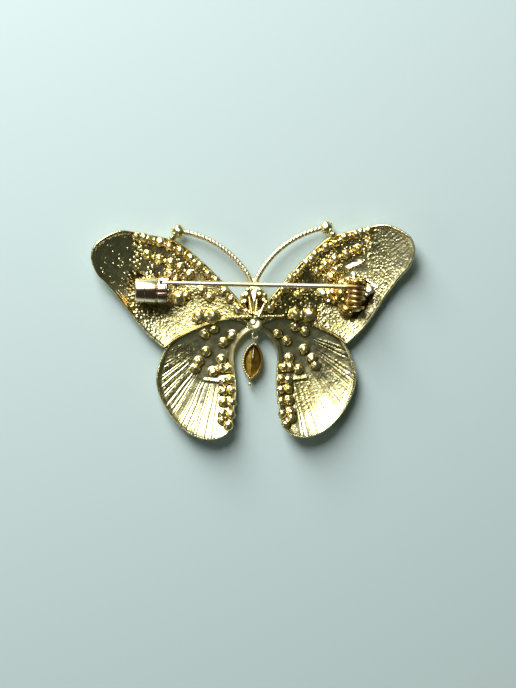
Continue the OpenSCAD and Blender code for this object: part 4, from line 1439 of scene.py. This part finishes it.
def makeCollar():
    bm = bmesh.new()
    r, wall = barrel["radius"], collar["wall"]
    low, high = collar["start"], collar["start"] + collar["length"]
    bore, sleeve = collar["bore"], collar["sleeve"]
    profile = [(bore, low), (r - 0.1, low), (r, low + 0.1), (r, low + wall), (sleeve, low + wall),
               (sleeve, high - 0.05), (sleeve - 0.05, high), (bore, high)]
    addLathe(bm, profile, atBarrel, 96, closed=True)
    first, last = collar["mouth"]
    inside, flange, foot = r - wall, collar["flange"], low + wall - 0.05
    profile = [(inside, foot), (r, foot), (r, flange - 0.02), (r, flange), (r, high - 0.42)]
    profile += [(r + 0.07, high - 0.34), (r + 0.09, high - 0.16), (r + 0.04, high - 0.04), (r - 0.06, high)]
    profile += [(inside + 0.06, high), (inside, high - 0.06)]
    place = atBarrel @ Matrix.Rotation(math.radians(first), 4, "Z")
    addLathe(bm, profile, place, 84, turn=last - first, closed=True)
    half, foot, top = collar["tab"]
    place = atBarrel @ Matrix.Rotation(math.radians(collar["tabTurn"]), 4, "Z")
    addBlock(bm, (-half, foot, low), (half, top, high), place, 0.2)
    layer = bm.verts.layers.float.new("crevice")
    back = atBarrel.inverted()
    for v in bm.verts:
        spot = back @ v.co
        # painted shade past the flange
        v[layer] = bandShade(spot) if spot.z < flange else 0.85
        if math.hypot(spot.x, spot.y) > r + 0.12:  # painted shade on the tab
            v[layer] = 0.8
    return bm


finishPiece("catchCollar", makeCollar(), barrelGold, body="collar", node="catch_rotor")
print("pin, hinge and catch made")

# abdomen drop, drawn with its eye at the origin and its length down y

drop = {
    "eye": (0, -1.478),
    "lean": -8,
    "length": 7.0,
    "width": 3.7,
    "cell": 0.055,
    "top": 0.554,
    "low": 0.2,
    "depth": 2.1,
    "rim": 0.42,
    "hollow": 0.95,
    "ridge": 0.3,
    "lit": {"low": (-4.8, 1.4), "high": (-1.4, 0.8)},
    "frontRise": 0.4,
    "bead": 0.21,
    "beadStep": 0.42,
    "tipSize": 0.34,
    "tipOut": 0.7,
}
dropPlace = Matrix.Translation((*drop["eye"], 0)) @ Matrix.Rotation(math.radians(drop["lean"]), 4, "Z")


def marquiseOutline(length, width, count=60):
    r = (length ** 2 / 4 + width ** 2 / 4) / width
    reach = math.asin(length / 2 / r)
    side = [(r * math.cos(a) - r + width / 2, r * math.sin(a)) for a in np.linspace(-reach, reach, count)]
    other = [(-px, -py) for px, py in side]
    return np.array(side[:-1] + other[:-1]) + (0, -drop["top"] - length / 2)


def dropHeights(x, y, gap, side):
    half = drop["length"] / 2
    middle = -drop["top"] - half
    inner = rises(gap, drop["rim"] - 0.1, 0.2)
    along = (y - middle) / half
    ridge = np.clip(1 - np.abs(x + 0.1) / (1.5 * np.maximum(0.05, 1 - along ** 2)), 0, 1)
    hollow = drop["hollow"] - drop["ridge"] * ridge + 0.02 * grain(x, y, 0.5, 11)
    # painted highlight along a raised facet on the ridge
    strip = (1 - rises(np.abs(x + 0.05), 0.03, 0.2)) * patch(x, y, **drop["lit"])
    hollow = hollow - strip * (0.06 + 0.36 * np.clip(-1.4 - y, 0, 2.2) + 0.3 * (x + 0.05))
    back = drop["low"] + drop["depth"] - inner * hollow - edgeDrop(gap)
    rise = drop["frontRise"] * drop["depth"]
    r = (half ** 2 + rise ** 2) / (2 * rise)
    front = drop["low"] + r - np.sqrt(r ** 2 - x ** 2 - (y - middle) ** 2) + edgeDrop(gap)
    # painted shade inside the rim and over the right half
    crevice = 0.6 * bell(gap - drop["rim"] - 0.08, 0.2) + 0.35 * inner * rises(x, 0.1, 0.6)
    return back, front, {"crevice": crevice * (1 - strip), "grainy": 0.3 * inner, "paintedLight": strip}


def makeDropBody():
    bm = makePlate(marquiseOutline(drop["length"], drop["width"]), drop["cell"], dropHeights)
    bmesh.ops.transform(bm, matrix=dropPlace, verts=bm.verts)
    return bm


def makeDropTrim():
    bm = bmesh.new()
    line = marquiseOutline(drop["length"] - 0.62, drop["width"] - 0.34, 200) + (0, -0.31)
    travel, last = 0.0, line[-1]
    for point in line:
        travel += math.dist(point, last)
        last = point
        if travel < drop["beadStep"]:
            continue
        travel = 0.0
        if point[0] <= 0.25:  # only the left side is beaded
            addLump(bm, (*point, drop["low"] + drop["depth"] - 0.04), drop["bead"], level=3)
    tip, height = -drop["top"] - drop["length"], drop["low"] + 0.7 * drop["depth"]
    end = (0, tip - drop["tipOut"], height)
    addRod(bm, (0, tip + 0.45, height), end, 0.22, 0.2)
    addLump(bm, end, drop["tipSize"], rough=0.05, seed=2)
    eyeHeight, wire = eye["place"][2], eye["wire"]
    addEye(bm, (0, 0, eyeHeight))
    addRod(bm, (0, -eye["ring"], eyeHeight), (0, -drop["top"] - 0.7, eyeHeight - 0.1), wire, 0.2)
    bmesh.ops.transform(bm, matrix=dropPlace, verts=bm.verts)
    return bm


finishPiece("dropBody", makeDropBody(), amberGold, node="abdomen_drop",
            sharp=wings["sharp"])
finishPiece("dropTrim", makeDropTrim(), knobGold, node="abdomen_drop")

neck = {
    "middle": (0, -0.92, 2.0),
    "halfWidth": 0.42,
    "halfLength": 0.62,
    "wire": 0.2,
    "flat": 1.1,
    "domes": ((-0.4, -0.62, 2.13), (0.38, -1.15, 2.13)),
    "domeSize": (0.25, 0.1),
}


def makeNeck():
    bm = bmesh.new()
    addRing(bm, neck["halfWidth"], neck["wire"], Matrix(), 16, 48)
    for v in bm.verts:  # a round ring drawn out into a long link
        stretch = neck["halfLength"] - neck["halfWidth"]
        v.co.y += stretch * max(-1, min(1, v.co.y / (0.5 * neck["halfWidth"])))
        v.co.z *= neck["flat"]
    bmesh.ops.translate(bm, vec=neck["middle"], verts=bm.verts)
    for centre in neck["domes"]:
        addDome(bm, centre, *neck["domeSize"])
    return bm


finishPiece("neckLink", makeNeck(), wireGold, node="drop_link")
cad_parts["hinge_rivet"].data.materials.clear()
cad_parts["hinge_rivet"].data.materials.append(hingeGold)
print("drop made")

# floor, light and camera

stageSettings = {
    "floorSize": 3,
    "floorColour": (0.55, 0.676, 0.662),
    "floorRough": 0.6,
    "worldColour": (0.84, 1.0, 0.84),
    "worldStrength": 0.06,
    "keyPlace": (-0.145, 0.315, 0.285),
    "keySize": (0.22, 0.46),
    "keyPower": 3.5,
    "fillPlace": (-0.35, -0.12, 0.2),
    "fillSize": (0.12, 0.12),
    "fillPower": 0.12,
}


def makeFloor():
    bm = bmesh.new()
    bmesh.ops.create_grid(bm, x_segments=1, y_segments=1, size=stageSettings["floorSize"])
    mesh = bpy.data.meshes.new("floor")
    bm.to_mesh(mesh)
    bm.free()
    material = bpy.data.materials.new("paleFloor")
    material.use_nodes = True
    surface = material.node_tree.nodes["Principled BSDF"]
    surface.inputs["Base Color"].default_value = (*stageSettings["floorColour"], 1)
    surface.inputs["Roughness"].default_value = stageSettings["floorRough"]
    mesh.materials.append(material)
    floor = bpy.data.objects.new("floor", mesh)
    bpy.context.scene.collection.objects.link(floor)


def makeWorld():
    world = bpy.data.worlds.new("studio")
    world.use_nodes = True
    background = world.node_tree.nodes["Background"]
    background.inputs["Color"].default_value = (*stageSettings["worldColour"], 1)
    background.inputs["Strength"].default_value = stageSettings["worldStrength"]
    bpy.context.scene.world = world
    bpy.context.scene.view_settings.view_transform = "Standard"


def addLight(name):
    data = bpy.data.lights.new(name + "Light", "AREA")
    data.shape = "RECTANGLE"
    data.size, data.size_y = stageSettings[name + "Size"]
    data.energy = stageSettings[name + "Power"]
    light = bpy.data.objects.new(name + "Light", data)
    light.location = stageSettings[name + "Place"]
    light.rotation_euler = (-light.location).to_track_quat("-Z", "Y").to_euler()
    bpy.context.scene.collection.objects.link(light)


view = {
    "target": (0.000495, -0.002489, 0.0025),
    "distance": 0.4,
    "roll": -1.4,
    "tall": 0.12343,
    "sensor": 36.0,
}


def makeCamera():
    data = bpy.data.cameras.new("camera")
    data.sensor_fit = "VERTICAL"
    data.sensor_height = view["sensor"]
    data.lens = view["sensor"] * view["distance"] / view["tall"]
    data.clip_start = 0.01
    camera = bpy.data.objects.new("camera", data)
    camera.location = Vector(view["target"]) + Vector((0, 0, view["distance"]))
    camera.rotation_euler = (0, 0, math.radians(view["roll"]))
    bpy.context.scene.collection.objects.link(camera)
    bpy.context.scene.camera = camera


makeFloor()
makeWorld()
addLight("key")
addLight("fill")
makeCamera()

print("stage set")
